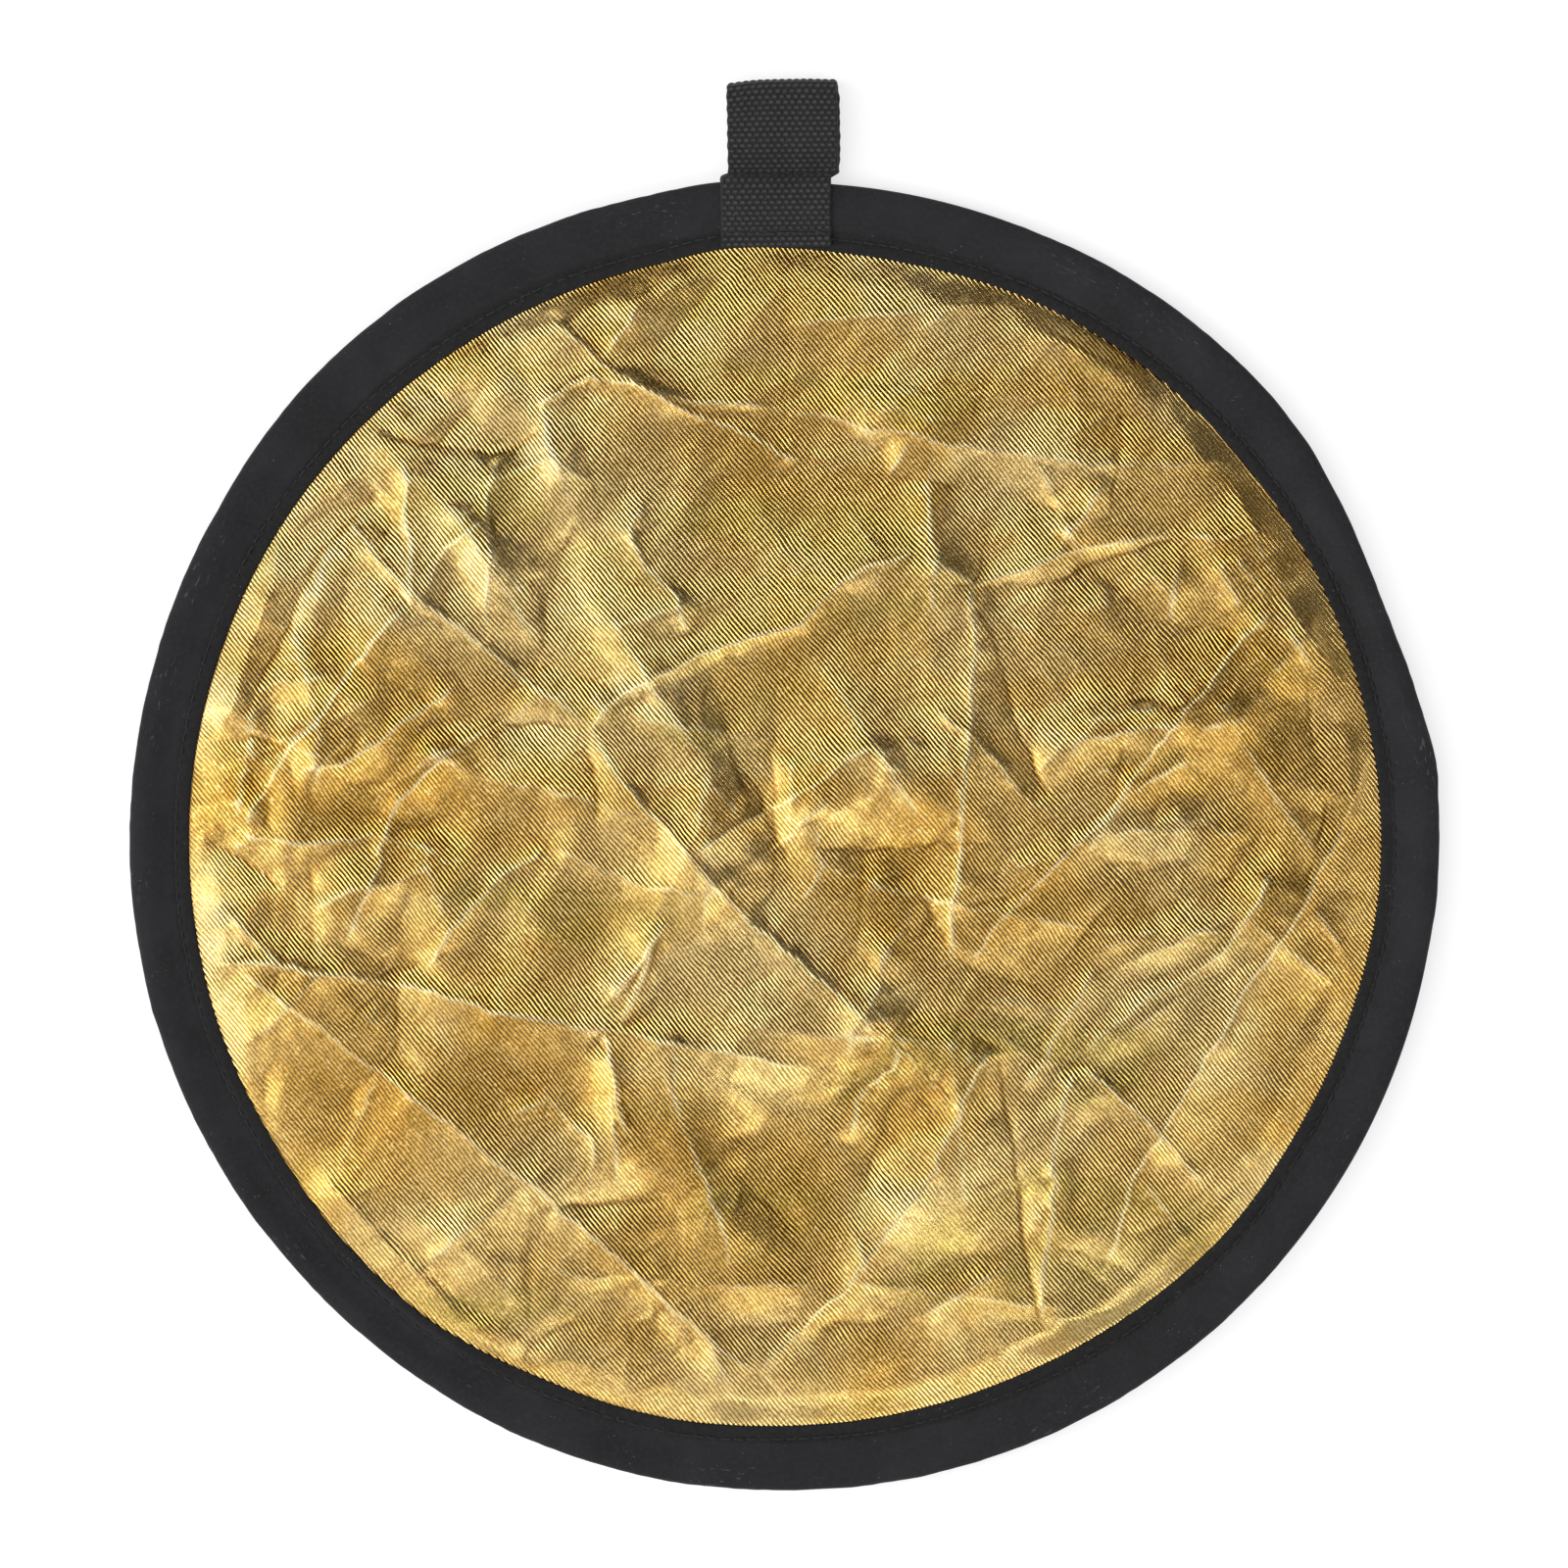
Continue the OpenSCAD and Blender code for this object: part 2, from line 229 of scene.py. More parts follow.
# ---------------------------------------------------------------- the cloth's creases
# (points along the crease, height, how far it dies away on its left, and on its right)
CREASES = [
    ([(-87.8, 59.1), (-67.6, 42.2), (-45.1, 24.3), (-38.0, 13.7), (-22.7, -3.8), (-9.2, -18.4), (4.3, -29.6), (23.4, -46.5)], 1.5, 5, 12),
    ([(-103.5, 74.8), (-94.6, 65.8), (-83.3, 52.3)], 0.9, 4, 9),
    ([(-126.0, -30.8), (-120.4, -34.1), (-90.1, -56.6), (-56.4, -81.3), (-36.2, -98.2), (-22.7, -110.5), (-7.0, -122.9)], 1.5, 10, 5),
    ([(-135.0, -29.6), (-118.1, -28.5), (-101.3, -31.9), (-85.6, -34.1), (-67.6, -39.8), (-45.1, -43.1), (-18.2, -48.7), (6.5, -53.2)], 1.1, 4, 8),
    ([(43.6, 57.9), (43.3, 38.9), (42.7, 23.1), (40.2, 2.9), (38.4, -30.8)], 1.2, 6, 4),
    ([(43.6, 57.9), (49.2, 38.9), (54.8, 22.0), (61.5, 5.2)], -0.7, 4, 6),
    ([(33.5, 31.0), (43.6, 22.0), (53.7, 11.9), (61.5, 4.0)], 0.6, 3, 3),
    ([(112.1, 52.3), (103.1, 43.3), (88.5, 24.3), (71.6, 1.8), (60.4, -8.3), (41.3, -29.6)], 1.0, 5, 9),
    ([(135.7, 23.1), (125.6, -1.6), (118.8, -15.0), (105.3, -36.4), (93.0, -56.6), (80.6, -77.9), (73.9, -98.2)], 1.3, 4, 14),
    ([(118.8, -15.0), (127.8, -26.3), (130.0, -35.3)], 0.8, 4, 4),
    ([(112.1, -7.2), (108.7, -15.0), (99.7, -26.3), (82.9, -37.5), (67.2, -51.0)], 0.7, 4, 4),
    ([(70.5, -29.6), (64.9, -42.0), (59.3, -51.0), (52.6, -58.8)], 0.8, 4, 4),
    ([(25.6, -46.5), (24.5, -53.2), (16.6, -61.1), (15.5, -71.2)], 0.7, 3, 4),
    ([(46.9, -47.6), (42.4, -56.6), (34.6, -75.7), (13.3, -104.9), (-7.0, -122.9)], 1.3, 5, 9),
    ([(48.1, -49.9), (50.3, -64.5), (53.7, -84.7), (58.2, -111.6)], -1.0, 6, 6),
    ([(66.0, -52.1), (62.7, -64.5), (60.4, -84.7), (58.6, -111.6)], 1.0, 5, 6),
    ([(66.0, -52.1), (73.9, -57.7), (82.9, -64.5), (96.4, -81.3)], 0.7, 4, 6),
    ([(-45.1, 24.3), (-36.2, 33.2), (-24.9, 38.9), (-9.2, 45.6), (4.3, 49.0), (12.1, 57.9), (30.1, 65.8)], 1.0, 7, 4),
    ([(30.1, 65.8), (43.6, 57.9), (62.7, 64.7), (82.9, 68.1), (114.3, 69.2)], 0.8, 5, 8),
    ([(62.7, 65.8), (66.0, 70.3), (73.9, 82.7)], 0.8, 4, 4),
    ([(103.1, 79.3), (116.6, 50.1), (132.3, 28.7)], 0.7, 4, 8),
    ([(-56.4, 122.0), (-42.9, 108.5), (-22.7, 97.3), (11.0, 83.8)], 0.9, 4, 8),
    ([(-45.1, 105.1), (-22.7, 100.6), (6.5, 96.1), (35.7, 90.5), (69.4, 84.9), (100.8, 86.0)], 0.9, 8, 5),
    ([(-0.2, 117.5), (15.5, 118.6), (44.7, 122.0), (67.2, 123.1)], 0.5, 5, 5),
    ([(-42.9, 108.5), (-36.2, 117.5), (-31.7, 126.4)], 0.8, 3, 6),
    ([(29.0, 115.2), (44.7, 124.2), (53.7, 130.9)], 0.5, 4, 4),
    ([(-22.7, 83.8), (-0.2, 79.3), (22.2, 81.5), (44.7, 79.3)], -0.7, 9, 9),
    ([(-30.5, 78.2), (-35.0, 70.3), (-31.7, 61.3), (-24.9, 54.6), (-22.7, 45.6)], 0.9, 3, 5),
    ([(-86.7, 87.1), (-87.4, 74.8), (-85.1, 64.7), (-85.6, 54.6)], 1.0, 8, 4),
    ([(-86.7, 54.6), (-101.3, 34.4), (-112.5, 20.9), (-120.4, 8.5), (-123.8, 1.8)], 1.3, 12, 4),
    ([(-74.3, 35.5), (-87.8, 25.4), (-101.3, 16.4), (-112.5, 14.1)], 1.2, 6, 8),
    ([(-74.3, 20.9), (-87.8, 7.4), (-92.3, -3.8), (-96.8, -15.0), (-101.3, -26.3)], 1.1, 7, 7),
    ([(-112.5, 74.8), (-116.6, 64.7), (-119.3, 52.3), (-123.8, 38.9), (-129.4, 24.3)], 1.1, 4, 5),
    ([(-93.4, 80.4), (-103.5, 68.1), (-109.2, 56.8), (-117.0, 41.1), (-123.8, 27.6)], -0.9, 5, 4),
    ([(-133.9, 0.7), (-127.1, -3.8), (-114.8, -11.7)], -1.0, 4, 6),
    ([(-65.4, 89.4), (-68.7, 78.2), (-67.6, 63.6), (-68.7, 43.3)], 0.9, 5, 9),
    ([(-105.8, 86.0), (-94.6, 95.0), (-83.3, 89.4), (-67.6, 87.1), (-54.1, 92.8)], -0.9, 6, 5),
    ([(-83.3, -31.9), (-74.3, -19.5), (-67.6, -11.7), (-54.1, -1.6)], 0.7, 4, 6),
    ([(-27.2, -20.7), (-33.9, -29.6), (-41.8, -39.8)], 0.7, 3, 5),
    ([(-27.2, -18.4), (-31.7, -29.6), (-37.3, -44.2)], 0.9, 2.5, 3),
    ([(-40.7, -44.2), (-38.0, -57.7), (-36.2, -70.1)], 0.9, 3, 3),
    ([(-45.1, -43.1), (-39.5, -49.9), (-33.9, -69.0)], -0.5, 3, 3),
    ([(-67.6, -98.2), (-45.1, -100.4), (-22.7, -102.6), (15.5, -102.6), (58.2, -107.1), (105.3, -111.6)], 0.5, 5, 8),
    ([(-112.5, -91.4), (-90.1, -102.6), (-72.1, -116.1), (-45.1, -129.6)], 1.1, 5, 7),
    ([(-105.8, -77.9), (-85.6, -98.2), (-63.1, -122.9)], 0.8, 5, 5),
    ([(-63.1, -64.5), (-54.1, -60.0), (-45.1, -69.0), (-42.9, -84.7)], 0.6, 5, 7),
    ([(58.2, -111.6), (71.6, -109.4), (94.1, -100.4)], 0.6, 5, 5),
    ([(81.8, -77.9), (90.7, -91.4), (100.8, -100.4)], 0.6, 5, 5),
    ([(109.8, 56.8), (118.8, 34.4), (123.3, 7.4), (118.8, -13.9)], -0.6, 7, 6),
    ([(-133.9, 20.9), (-121.5, 23.1), (-112.5, 20.9)], -0.8, 3, 5),
    ([(-127.1, 0.7), (-112.5, -1.6), (-94.6, 0.7), (-76.6, -6.1)], 0.6, 4, 6),
    ([(-129.4, -15.0), (-121.5, -24.0), (-112.5, -30.8)], 0.8, 4, 5),
    ([(-121.5, 66.9), (-110.3, 70.3), (-97.9, 77.0)], -0.8, 3, 3),
    ([(-22.7, -3.8), (-13.7, 0.7), (6.5, 11.9), (20.0, 20.9)], 0.6, 5, 7),
    ([(20.0, 19.8), (23.4, 15.3), (29.0, 14.1)], 0.6, 2.5, 2.5),
    ([(6.5, -6.1), (22.2, -11.7), (44.7, -17.3), (73.9, -21.8), (103.1, -21.8)], 0.45, 4, 6),
    ([(-54.1, -1.6), (-31.7, -11.7), (-18.2, -13.9)], 0.5, 5, 6),
    ([(8.8, 4.0), (7.6, -6.1), (4.3, -17.3)], 0.5, 5, 4),
    ([(-85.6, 47.8), (-77.7, 65.8), (-67.6, 72.5)], 0.6, 5, 6),
    ([(-58.6, 97.3), (-45.1, 105.1), (-40.7, 101.7)], 0.7, 3, 3),
    ([(-72.1, 79.3), (-54.1, 86.0), (-36.2, 79.3)], 0.6, 7, 7),
    ([(80.6, 14.1), (73.9, 2.9), (67.2, -6.1)], 0.5, 4, 4),
    ([(35.7, 25.4), (39.1, 11.9), (44.7, 0.7)], 0.4, 4, 4),
    ([(85.1, 1.8), (96.4, 4.0), (107.6, -1.6)], 0.7, 8, 8),
    ([(76.1, -8.3), (89.6, -6.1), (105.3, -10.6)], -0.6, 7, 7),
]

# broad rises and hollows: x, y, height, radius across, radius along, turn in degrees
LOBES = [
    (-98, 30, 1.3, 9, 34, 62), (-108, 52, 0.9, 7, 22, 66), (-82, 8, -0.8, 12, 26, 60), (-62, 62, 0.9, 11, 24, 58),
    (-46, 86, 0.8, 9, 26, 35), (-16, 100, -0.6, 14, 30, -10), (10, 86, -0.9, 30, 16, 5), (42, 72, -0.6, 24, 14, -8),
    (-104, -18, 1.0, 10, 18, 80), (-76, -12, 0.8, 7, 24, 66), (-52, -14, 0.6, 7, 22, 70), (-34, 10, 0.5, 12, 20, -45),
    (8, 8, 0.5, 16, 22, 40), (36, 14, 0.5, 7, 18, 84), (60, 24, 0.5, 22, 26, 50), (84, -2, 0.8, 8, 9, 0), (96, -6, 0.7, 7, 8, 30),
    (72, -8, -0.5, 7, 8, 0), (60, -18, 0.5, 6, 9, 20), (20, -8, 0.6, 7, 14, 70), (-8, -44, 0.6, 22, 18, 20),
    (-58, -42, 0.8, 12, 26, -30), (-86, -66, 0.7, 9, 30, -42), (-30, -62, 0.7, 9, 16, 80), (-14, -90, 0.7, 14, 30, -35),
    (30, -88, 0.6, 16, 18, 20), (56, -72, 0.8, 7, 26, -80), (74, -80, 0.7, 8, 20, 62), (98, -50, 0.6, 12, 30, 58),
    (112, -16, 0.9, 6, 20, 76), (104, 40, 0.4, 14, 30, 60), (-72, -98, 0.8, 7, 26, -38), (-20, -122, 0.6, 8, 26, -10),
    (24, -118, 0.5, 10, 20, 10), (70, -112, 0.5, 8, 22, 24), (-112, 8, 0.9, 6, 14, 84), (-118, -8, 0.8, 6, 12, 60),
    (-92, 82, 0.6, 7, 16, 40), (-70, 98, 0.6, 7, 14, 30), (-34, 120, 0.5, 8, 16, 10), (30, 118, 0.4, 8, 26, -8), (72, 96, 0.4, 10, 26, -40),
]


def along_crease(x, y, pts):
    """Signed distance to a polyline (left +) and the place along it from 0 to 1."""
    pts = np.array(pts, float)
    seg = np.diff(pts, axis=0)
    length = np.hypot(seg[:, 0], seg[:, 1])
    at = np.concatenate([[0], np.cumsum(length)])
    best = np.full(x.shape, 1e9)
    side = np.zeros(x.shape)
    t = np.zeros(x.shape)
    for k in range(len(seg)):
        dx, dy = x - pts[k, 0], y - pts[k, 1]
        e = seg[k] / length[k]
        u = np.clip(dx * e[0] + dy * e[1], 0, length[k])
        qx, qy = dx - u * e[0], dy - u * e[1]
        d = np.hypot(qx, qy)
        near = d < best
        best = np.where(near, d, best)
        side = np.where(near, np.sign(e[0] * dy - e[1] * dx), side)
        t = np.where(near, (at[k] + u) / at[-1], t)
    return best * np.where(side == 0, 1, side), t


FOLDS = []
_g = np.random.default_rng(5)
for _ in range(150):
    _r, _t = 132 * math.sqrt(_g.random()), _g.random() * TAU
    FOLDS.append((_r * math.cos(_t), _r * math.sin(_t), _g.random() * math.pi, _g.uniform(0.03, 0.11) * _g.choice([-1, 1]), _g.uniform(7, 26)))


def relief(x, y, creases=None, folds=FOLDS, seed=0, amount=1.0):
    """Height of the crumpled cloth above its flat place, before it is held down at the rim."""
    # the cloth wanders a little, so that no crease is drawn with a ruler
    wx = x + 0.9 * vnoise(x / 9, y / 9, 31 + seed) + 0.35 * vnoise(x / 3.2, y / 3.2, 33 + seed)
    wy = y + 0.9 * vnoise(x / 9, y / 9, 32 + seed) + 0.35 * vnoise(x / 3.2, y / 3.2, 34 + seed)
    h = np.zeros_like(x)
    for pts, height, wl, wr in creases or []:
        p = np.array(pts)
        reach = 5 * max(wl, wr)
        m = (wx > p[:, 0].min() - reach) & (wx < p[:, 0].max() + reach) & (wy > p[:, 1].min() - reach) & (wy < p[:, 1].max() + reach)
        if not m.any():
            continue
        d, t = along_crease(wx[m], wy[m], pts)
        length = np.hypot(*np.diff(p, axis=0).T).sum()
        end = min(0.5, 6.0 / length)
        taper = smooth(-0.02, end, t) * smooth(-0.02, end, 1 - t)
        taper = taper * (1 + 0.35 * vnoise(t * length / 11, d * 0 + height * 7, 41 + seed))
        w = np.where(d > 0, wl, wr) * (1 + 0.3 * vnoise(t * length / 17, d * 0 + height * 3, 42 + seed))
        sharp = np.sqrt(d * d + 0.03) - 0.17
        h[m] += 0.85 * height * taper * np.exp(-sharp / (0.9 * w))
    for cx, cy, a, slope, reach in folds:
        dx, dy = wx - cx, wy - cy
        m = dx * dx + dy * dy < 9 * reach * reach
        if not m.any():
            continue
        dx, dy = dx[m], dy[m]
        across = dx * math.sin(a) - dy * math.cos(a)
        along = dx * math.cos(a) + dy * math.sin(a)
        win = np.exp(-(along / reach) ** 2 - (across / (0.55 * reach)) ** 2)
        h[m] += 1.15 * slope * (np.sqrt(across * across + 0.09) - 0.55 * reach) * win
    return h * amount


def lobes(x, y):
    h = np.zeros_like(x)
    for cx, cy, height, ra, rb, turn in LOBES:
        a = math.radians(turn)
        dx, dy = x - cx, y - cy
        u = dx * math.cos(a) + dy * math.sin(a)
        v = -dx * math.sin(a) + dy * math.cos(a)
        h += height * np.exp(-((u / rb) ** 2 + (v / ra) ** 2))
    return h


def ridge(n):
    """Noise from -1 to 1 turned into sharp crests."""
    return 1 - 2 * np.sqrt(n * n + 0.0016)


def puckers(x, y, seed):
    """Short gathers at the binding, running in from the seam."""
    r = np.hypot(x, y)
    deg = np.degrees(np.arctan2(y, x)) % 360
    depth = r_lip(deg) - r
    left = 0.5 + 0.5 * np.cos(np.radians(deg - 175))
    lean = 0.16 * (135 - r) * ring_noise(deg, 23, 50 + seed)
    n = ridge(ring_noise(deg + lean, 140, 51 + seed)) * np.exp(-np.abs(depth) / 4.0)
    n += 1.5 * ridge(ring_noise(deg - 0.7 * lean, 58, 52 + seed)) * np.exp(-np.abs(depth) / 9)
    n += 1.6 * left**2 * ridge(ring_noise(deg + 1.3 * lean + 4, 46, 53 + seed)) * np.exp(-np.abs(depth - 3) / 14)
    return n * (0.06 + 0.13 * left)


def small_creases(seed, count):
    """Straight short creases, most of them along the cloth's two ways and down its slant."""
    g = np.random.default_rng(seed)
    out = []
    for _ in range(count):
        r, t = 140 * math.sqrt(g.random()), g.random() * TAU
        turn = math.radians(g.choice([-42, 38, 84, 8], p=[0.36, 0.24, 0.26, 0.14]) + g.normal(0, 13))
        length = 7 + 34 * g.random() ** 2
        w = g.uniform(1.6, 3.4) + 0.16 * length * g.random()
        out.append((r * math.cos(t), r * math.sin(t), turn, length, w, w * g.uniform(0.016, 0.062) * g.choice([1, 1, -1]), g.uniform(0.45, 2.2)))
    return out


def crumple(x, y, seed):
    """Short sharp creases with flat flanks, crowded in some places and rare in others."""
    wx = x + 0.7 * vnoise(x / 11, y / 11, 5 + seed) + 0.2 * vnoise(x / 3, y / 3, 35 + seed)
    wy = y + 0.7 * vnoise(x / 11, y / 11, 6 + seed) + 0.2 * vnoise(x / 3, y / 3, 36 + seed)
    many = 0.45 + 0.75 * smooth(-0.4, 0.5, vnoise(x / 38, y / 38, 7 + seed))
    h = np.zeros_like(x)
    for cx, cy, turn, length, w, a, lop in small_creases(seed, 420):
        dx, dy = wx - cx, wy - cy
        reach = 0.6 * length + 5 * w
        m = (np.abs(dx) < reach) & (np.abs(dy) < reach)
        if not m.any():
            continue
        along = dx[m] * math.cos(turn) + dy[m] * math.sin(turn)
        d = -dx[m] * math.sin(turn) + dy[m] * math.cos(turn)
        side = np.where(d > 0, w, w * lop)
        off = np.maximum(np.abs(along) - 0.5 * length, 0)
        ends = smooth(0.5 * length + 2 * w, 0.18 * length, np.abs(along))
        dist = np.sqrt(d * d + off * off + 0.02) - 0.14
        h[m] += a * ends * np.exp(-dist / side)
    h *= many
    c, s = math.cos(0.75), math.sin(0.75)
    b = -wx * s + wy * c
    h += 0.016 * ridge(vnoise(wx / 3.4, b / 6.5, 12 + seed)) * many
    return h


def gold_height(x, y):
    deg = np.degrees(np.arctan2(y, x)) % 360
    r = np.hypot(x, y)
    inside = r_lip(deg) - r
    h = 0.9 + relief(x, y, CREASES) + lobes(x, y)
    h += 0.45 * vnoise(x / 34, y / 34, 61) + 0.09 * vnoise(x / 15, y / 15, 62)
    h += crumple(x, y, 400) + puckers(x, y, 0)
    h = 0.25 + 0.5 * ((h - 0.25) + np.sqrt((h - 0.25) ** 2 + 0.09))
    hold = smooth(-1.6, 7.0, inside)
    under = 0.13 + 0.05 * smooth(0, 3, inside)
    return under + (h - 0.1) * hold


SILVER_CREASES = [([(-x, y * 0.93 + 6) for x, y in p[::-1]], 0.75 * a, wl, wr) for p, a, wl, wr in CREASES[::2]]
_s2 = np.random.default_rng(9)
SILVER_FOLDS = []
for _ in range(110):
    _r, _t = 130 * math.sqrt(_s2.random()), _s2.random() * TAU
    SILVER_FOLDS.append((_r * math.cos(_t), _r * math.sin(_t), _s2.random() * math.pi, _s2.uniform(0.03, 0.1) * _s2.choice([-1, 1]), _s2.uniform(8, 28)))


def silver_height(x, y):
    """How far the silver cloth hangs below the middle, as a positive number."""
    deg = np.degrees(np.arctan2(y, x)) % 360
    r = np.hypot(x, y)
    inside = r_lip(deg) - r
    h = 0.8 + relief(x, y, SILVER_CREASES, SILVER_FOLDS, seed=70, amount=0.8)
    h += 0.4 * vnoise(x / 36, y / 36, 71) + 0.08 * vnoise(x / 14, y / 14, 72)
    h += 0.8 * crumple(x, y, 500) + 0.8 * puckers(x, y, 20)
    h = 0.25 + 0.5 * ((h - 0.25) + np.sqrt((h - 0.25) ** 2 + 0.09))
    h = 2.5 - 0.5 * ((2.5 - h) + np.sqrt((2.5 - h) ** 2 + 0.04)) + 0.0
    hold = smooth(-1.6, 7.0, inside)
    return 0.13 + 0.05 * smooth(0, 3, inside) + (h - 0.1) * hold


# ---------------------------------------------------------------- sampled height fields
GRID = 0.4
HALF = 143.2
_n = int(round(2 * HALF / GRID)) + 1
_ax = np.linspace(-HALF, HALF, _n)
_X, _Y = np.meshgrid(_ax, _ax, indexing="ij")


def field(fn):
    h = fn(_X, _Y)
    gx, gy = np.gradient(h, _ax[1] - _ax[0])
    return h, gx, gy


def sample(grid, x, y):
    fx, fy = (x + HALF) / (_ax[1] - _ax[0]), (y + HALF) / (_ax[1] - _ax[0])
    i, j = np.clip(np.floor(fx).astype(int), 0, _n - 2), np.clip(np.floor(fy).astype(int), 0, _n - 2)
    u, v = fx - i, fy - j
    return (grid[i, j] * (1 - u) + grid[i + 1, j] * u) * (1 - v) + (grid[i, j + 1] * (1 - u) + grid[i + 1, j + 1] * u) * v


R_CLOTH = 141.2
SHEET_T = 0.11


def wedge(name, a0, a1, fields, up, mats, fine):
    """One gore of a cloth between two angles: both faces and the cut edges, closed."""
    share = (a1 - a0) / STEP
    zones = [(0.0, 34.0, fine // 4), (34.0, 70.0, fine // 2), (70.0, R_CLOTH, fine)]
    pitch = 141.0 * math.radians(STEP) / fine
    rings = []
    for lo, hi, cols in zones:
        n = max(2, int(round((hi - lo) / pitch)))
        rs = np.linspace(lo, hi, n + 1)[(1 if lo == 0 else 0):]
        if hi < R_CLOTH:
            rs = rs[:-1]
        rings += [(r, max(2, int(round(cols * share)))) for r in rs]
    pts, starts = [np.zeros((1, 2))], []
    at = 1
    for r, c in rings:
        a = np.radians(np.linspace(a0, a1, c + 1))
        pts.append(np.stack([r * np.cos(a), r * np.sin(a)], -1))
        starts.append((at, c))
        at += c + 1
    p = np.concatenate(pts)
    tris, quads = [], []
    s, c = starts[0]
    j = np.arange(c)
    tris.append(np.stack([0 * j, s + j, s + j + 1], -1))
    for (s0, c0), (s1, c1) in zip(starts, starts[1:]):
        j = np.arange(c0)
        if c0 == c1:
            quads.append(np.stack([s0 + j, s1 + j, s1 + j + 1, s0 + j + 1], -1))
        else:
            tris.append(np.stack([s0 + j, s1 + 2 * j, s1 + 2 * j + 1], -1))
            tris.append(np.stack([s0 + j, s1 + 2 * j + 1, s0 + j + 1], -1))
            tris.append(np.stack([s0 + j + 1, s1 + 2 * j + 1, s1 + 2 * j + 2], -1))
    tris, quads = np.concatenate(tris), np.concatenate(quads)
    h, gx, gy = (sample(f, p[:, 0], p[:, 1]) for f in fields)
    sign = 1 if up else -1
    outer = np.column_stack([p, sign * h])
    inner = np.column_stack([p, sign * (h - SHEET_T)])
    nrm = np.column_stack([-gx, -gy, np.ones(len(p))])
    nrm /= np.linalg.norm(nrm, axis=1)[:, None]
    nrm[:, 2] *= sign
    n = len(p)
    border = [0] + [s for s, c in starts] + list(range(starts[-1][0] + 1, starts[-1][0] + starts[-1][1] + 1)) + [s + c for s, c in starts[::-1]][1:]
    b = np.array(border)
    b2 = np.roll(b, -1)
    wall = np.stack([b, b + n, b2 + n, b2], -1)
    if up:
        faces = [tris, quads, tris[:, ::-1] + n, quads[:, ::-1] + n, wall]
    else:
        faces = [tris[:, ::-1], quads[:, ::-1], tris + n, quads + n, wall[:, ::-1]]
    o = make(name, np.concatenate([outer, inner]), faces, mats, np.concatenate([nrm, -nrm]))
    return o


# ---------------------------------------------------------------- the binding
STITCHES = 288


def half_profile(deg, side):
    """Points (r, z) of the binding's section from the outside edge to the slit, for many angles. side 1 is the front."""
    deg = np.asarray(deg, float)
    o, l = r_outer(deg), r_lip(deg)
    s = l + SEAM_IN
    sd = 0 if side > 0 else 100
    o = o + 0.10 * ring_noise(deg, 120, 81) + 0.05 * ring_noise(deg, 420, 82)
    # the cloth stays outside the band, which runs straight beside its joint
    flat = smooth(3.0, 5.5, deg % 360) * (1 - smooth(36.0, 41.0, deg % 360))
    o = flat * (o + 0.3) + (1 - flat) * np.maximum(o, 149.75)
    rows = []
    for dr, z in [(0.0, 0.0), (0.01, 0.5), (0.04, 0.95), (0.1, 1.4), (0.22, 1.8), (0.45, 2.14), (0.85, 2.38), (1.45, 2.53), (2.2, 2.6)]:
        rows.append((o - dr, np.full_like(o, z)))
    top, low = o - 3.2, s + 1.2
    for f in np.linspace(0, 1, 15):
        e = f * f * (3 - 2 * f)
        rows.append((top + (low - top) * f, 1.14 + (2.62 - 1.14) * (1 - (0.55 * e + 0.45 * f)) + 0 * o))
    for dr, z in [(0.85, 1.05), (0.55, 0.97), (0.3, 0.9), (0.05, 0.87), (-0.2, 0.9), (-0.5, 0.97), (-0.9, 1.02), (-1.4, 1.03), (-1.9, 1.0)]:
        rows.append((s + dr, np.full_like(o, z)))
    for dr, z in [(0.65, 0.96), (0.35, 0.9), (0.12, 0.8), (0.0, 0.66), (0.02, 0.5), (0.18, 0.38), (0.6, 0.32)]:
        rows.append((l + dr, np.full_like(o, z)))
    rows.append((l + 2.5, np.full_like(o, 0.3)))
    rows.append((np.full_like(o, 141.6), np.full_like(o, 0.3)))
    r = np.stack([a for a, _ in rows], -1)
    z = np.stack([b for _, b in rows], -1)
    on_top = smooth(0.4, 0.9, z)
    d = deg[:, None]
    dist = r - s[:, None]
    lean = 0.16 * dist
    gather = ring_noise(d + lean, 330, 91 + sd) * np.exp(-((dist / 2.4) ** 2)) * 0.10
    gather = gather + ring_noise(d - lean, 170, 92 + sd) * np.exp(-((dist - 1.5) / 3.6) ** 2) * 0.14
    soft = ring_noise(d + 0.05 * dist, 76, 93 + sd) * smooth(0.5, 4, dist) * (1 - smooth(9, 12.5, dist)) * 0.20
    soft = soft + ring_noise(d, 31, 94 + sd) * smooth(0.5, 5, dist) * (1 - smooth(10, 12, dist)) * 0.12
    dips = -0.10 * np.cos(np.radians(d * STITCHES)) ** 8 * np.exp(-((dist / 0.55) ** 2))
    lip = ring_noise(d, 240, 95 + sd) * (1 - smooth(-2.6, -0.8, dist)) * 0.09
    z = z + on_top * (gather + soft + dips + lip)
    return r, side * z


def binding_points(deg):
    """(angles, section, 3): the whole section, closed."""
    rf, zf = half_profile(deg, 1)
    rb, zb = half_profile(deg, -1)
    r = np.concatenate([rf, rb[:, ::-1][:, :-1]], 1)
    z = np.concatenate([zf, zb[:, ::-1][:, :-1]], 1)
    a = np.radians(np.asarray(deg, float))[:, None]
    return np.stack([r * np.cos(a), r * np.sin(a), z], -1)


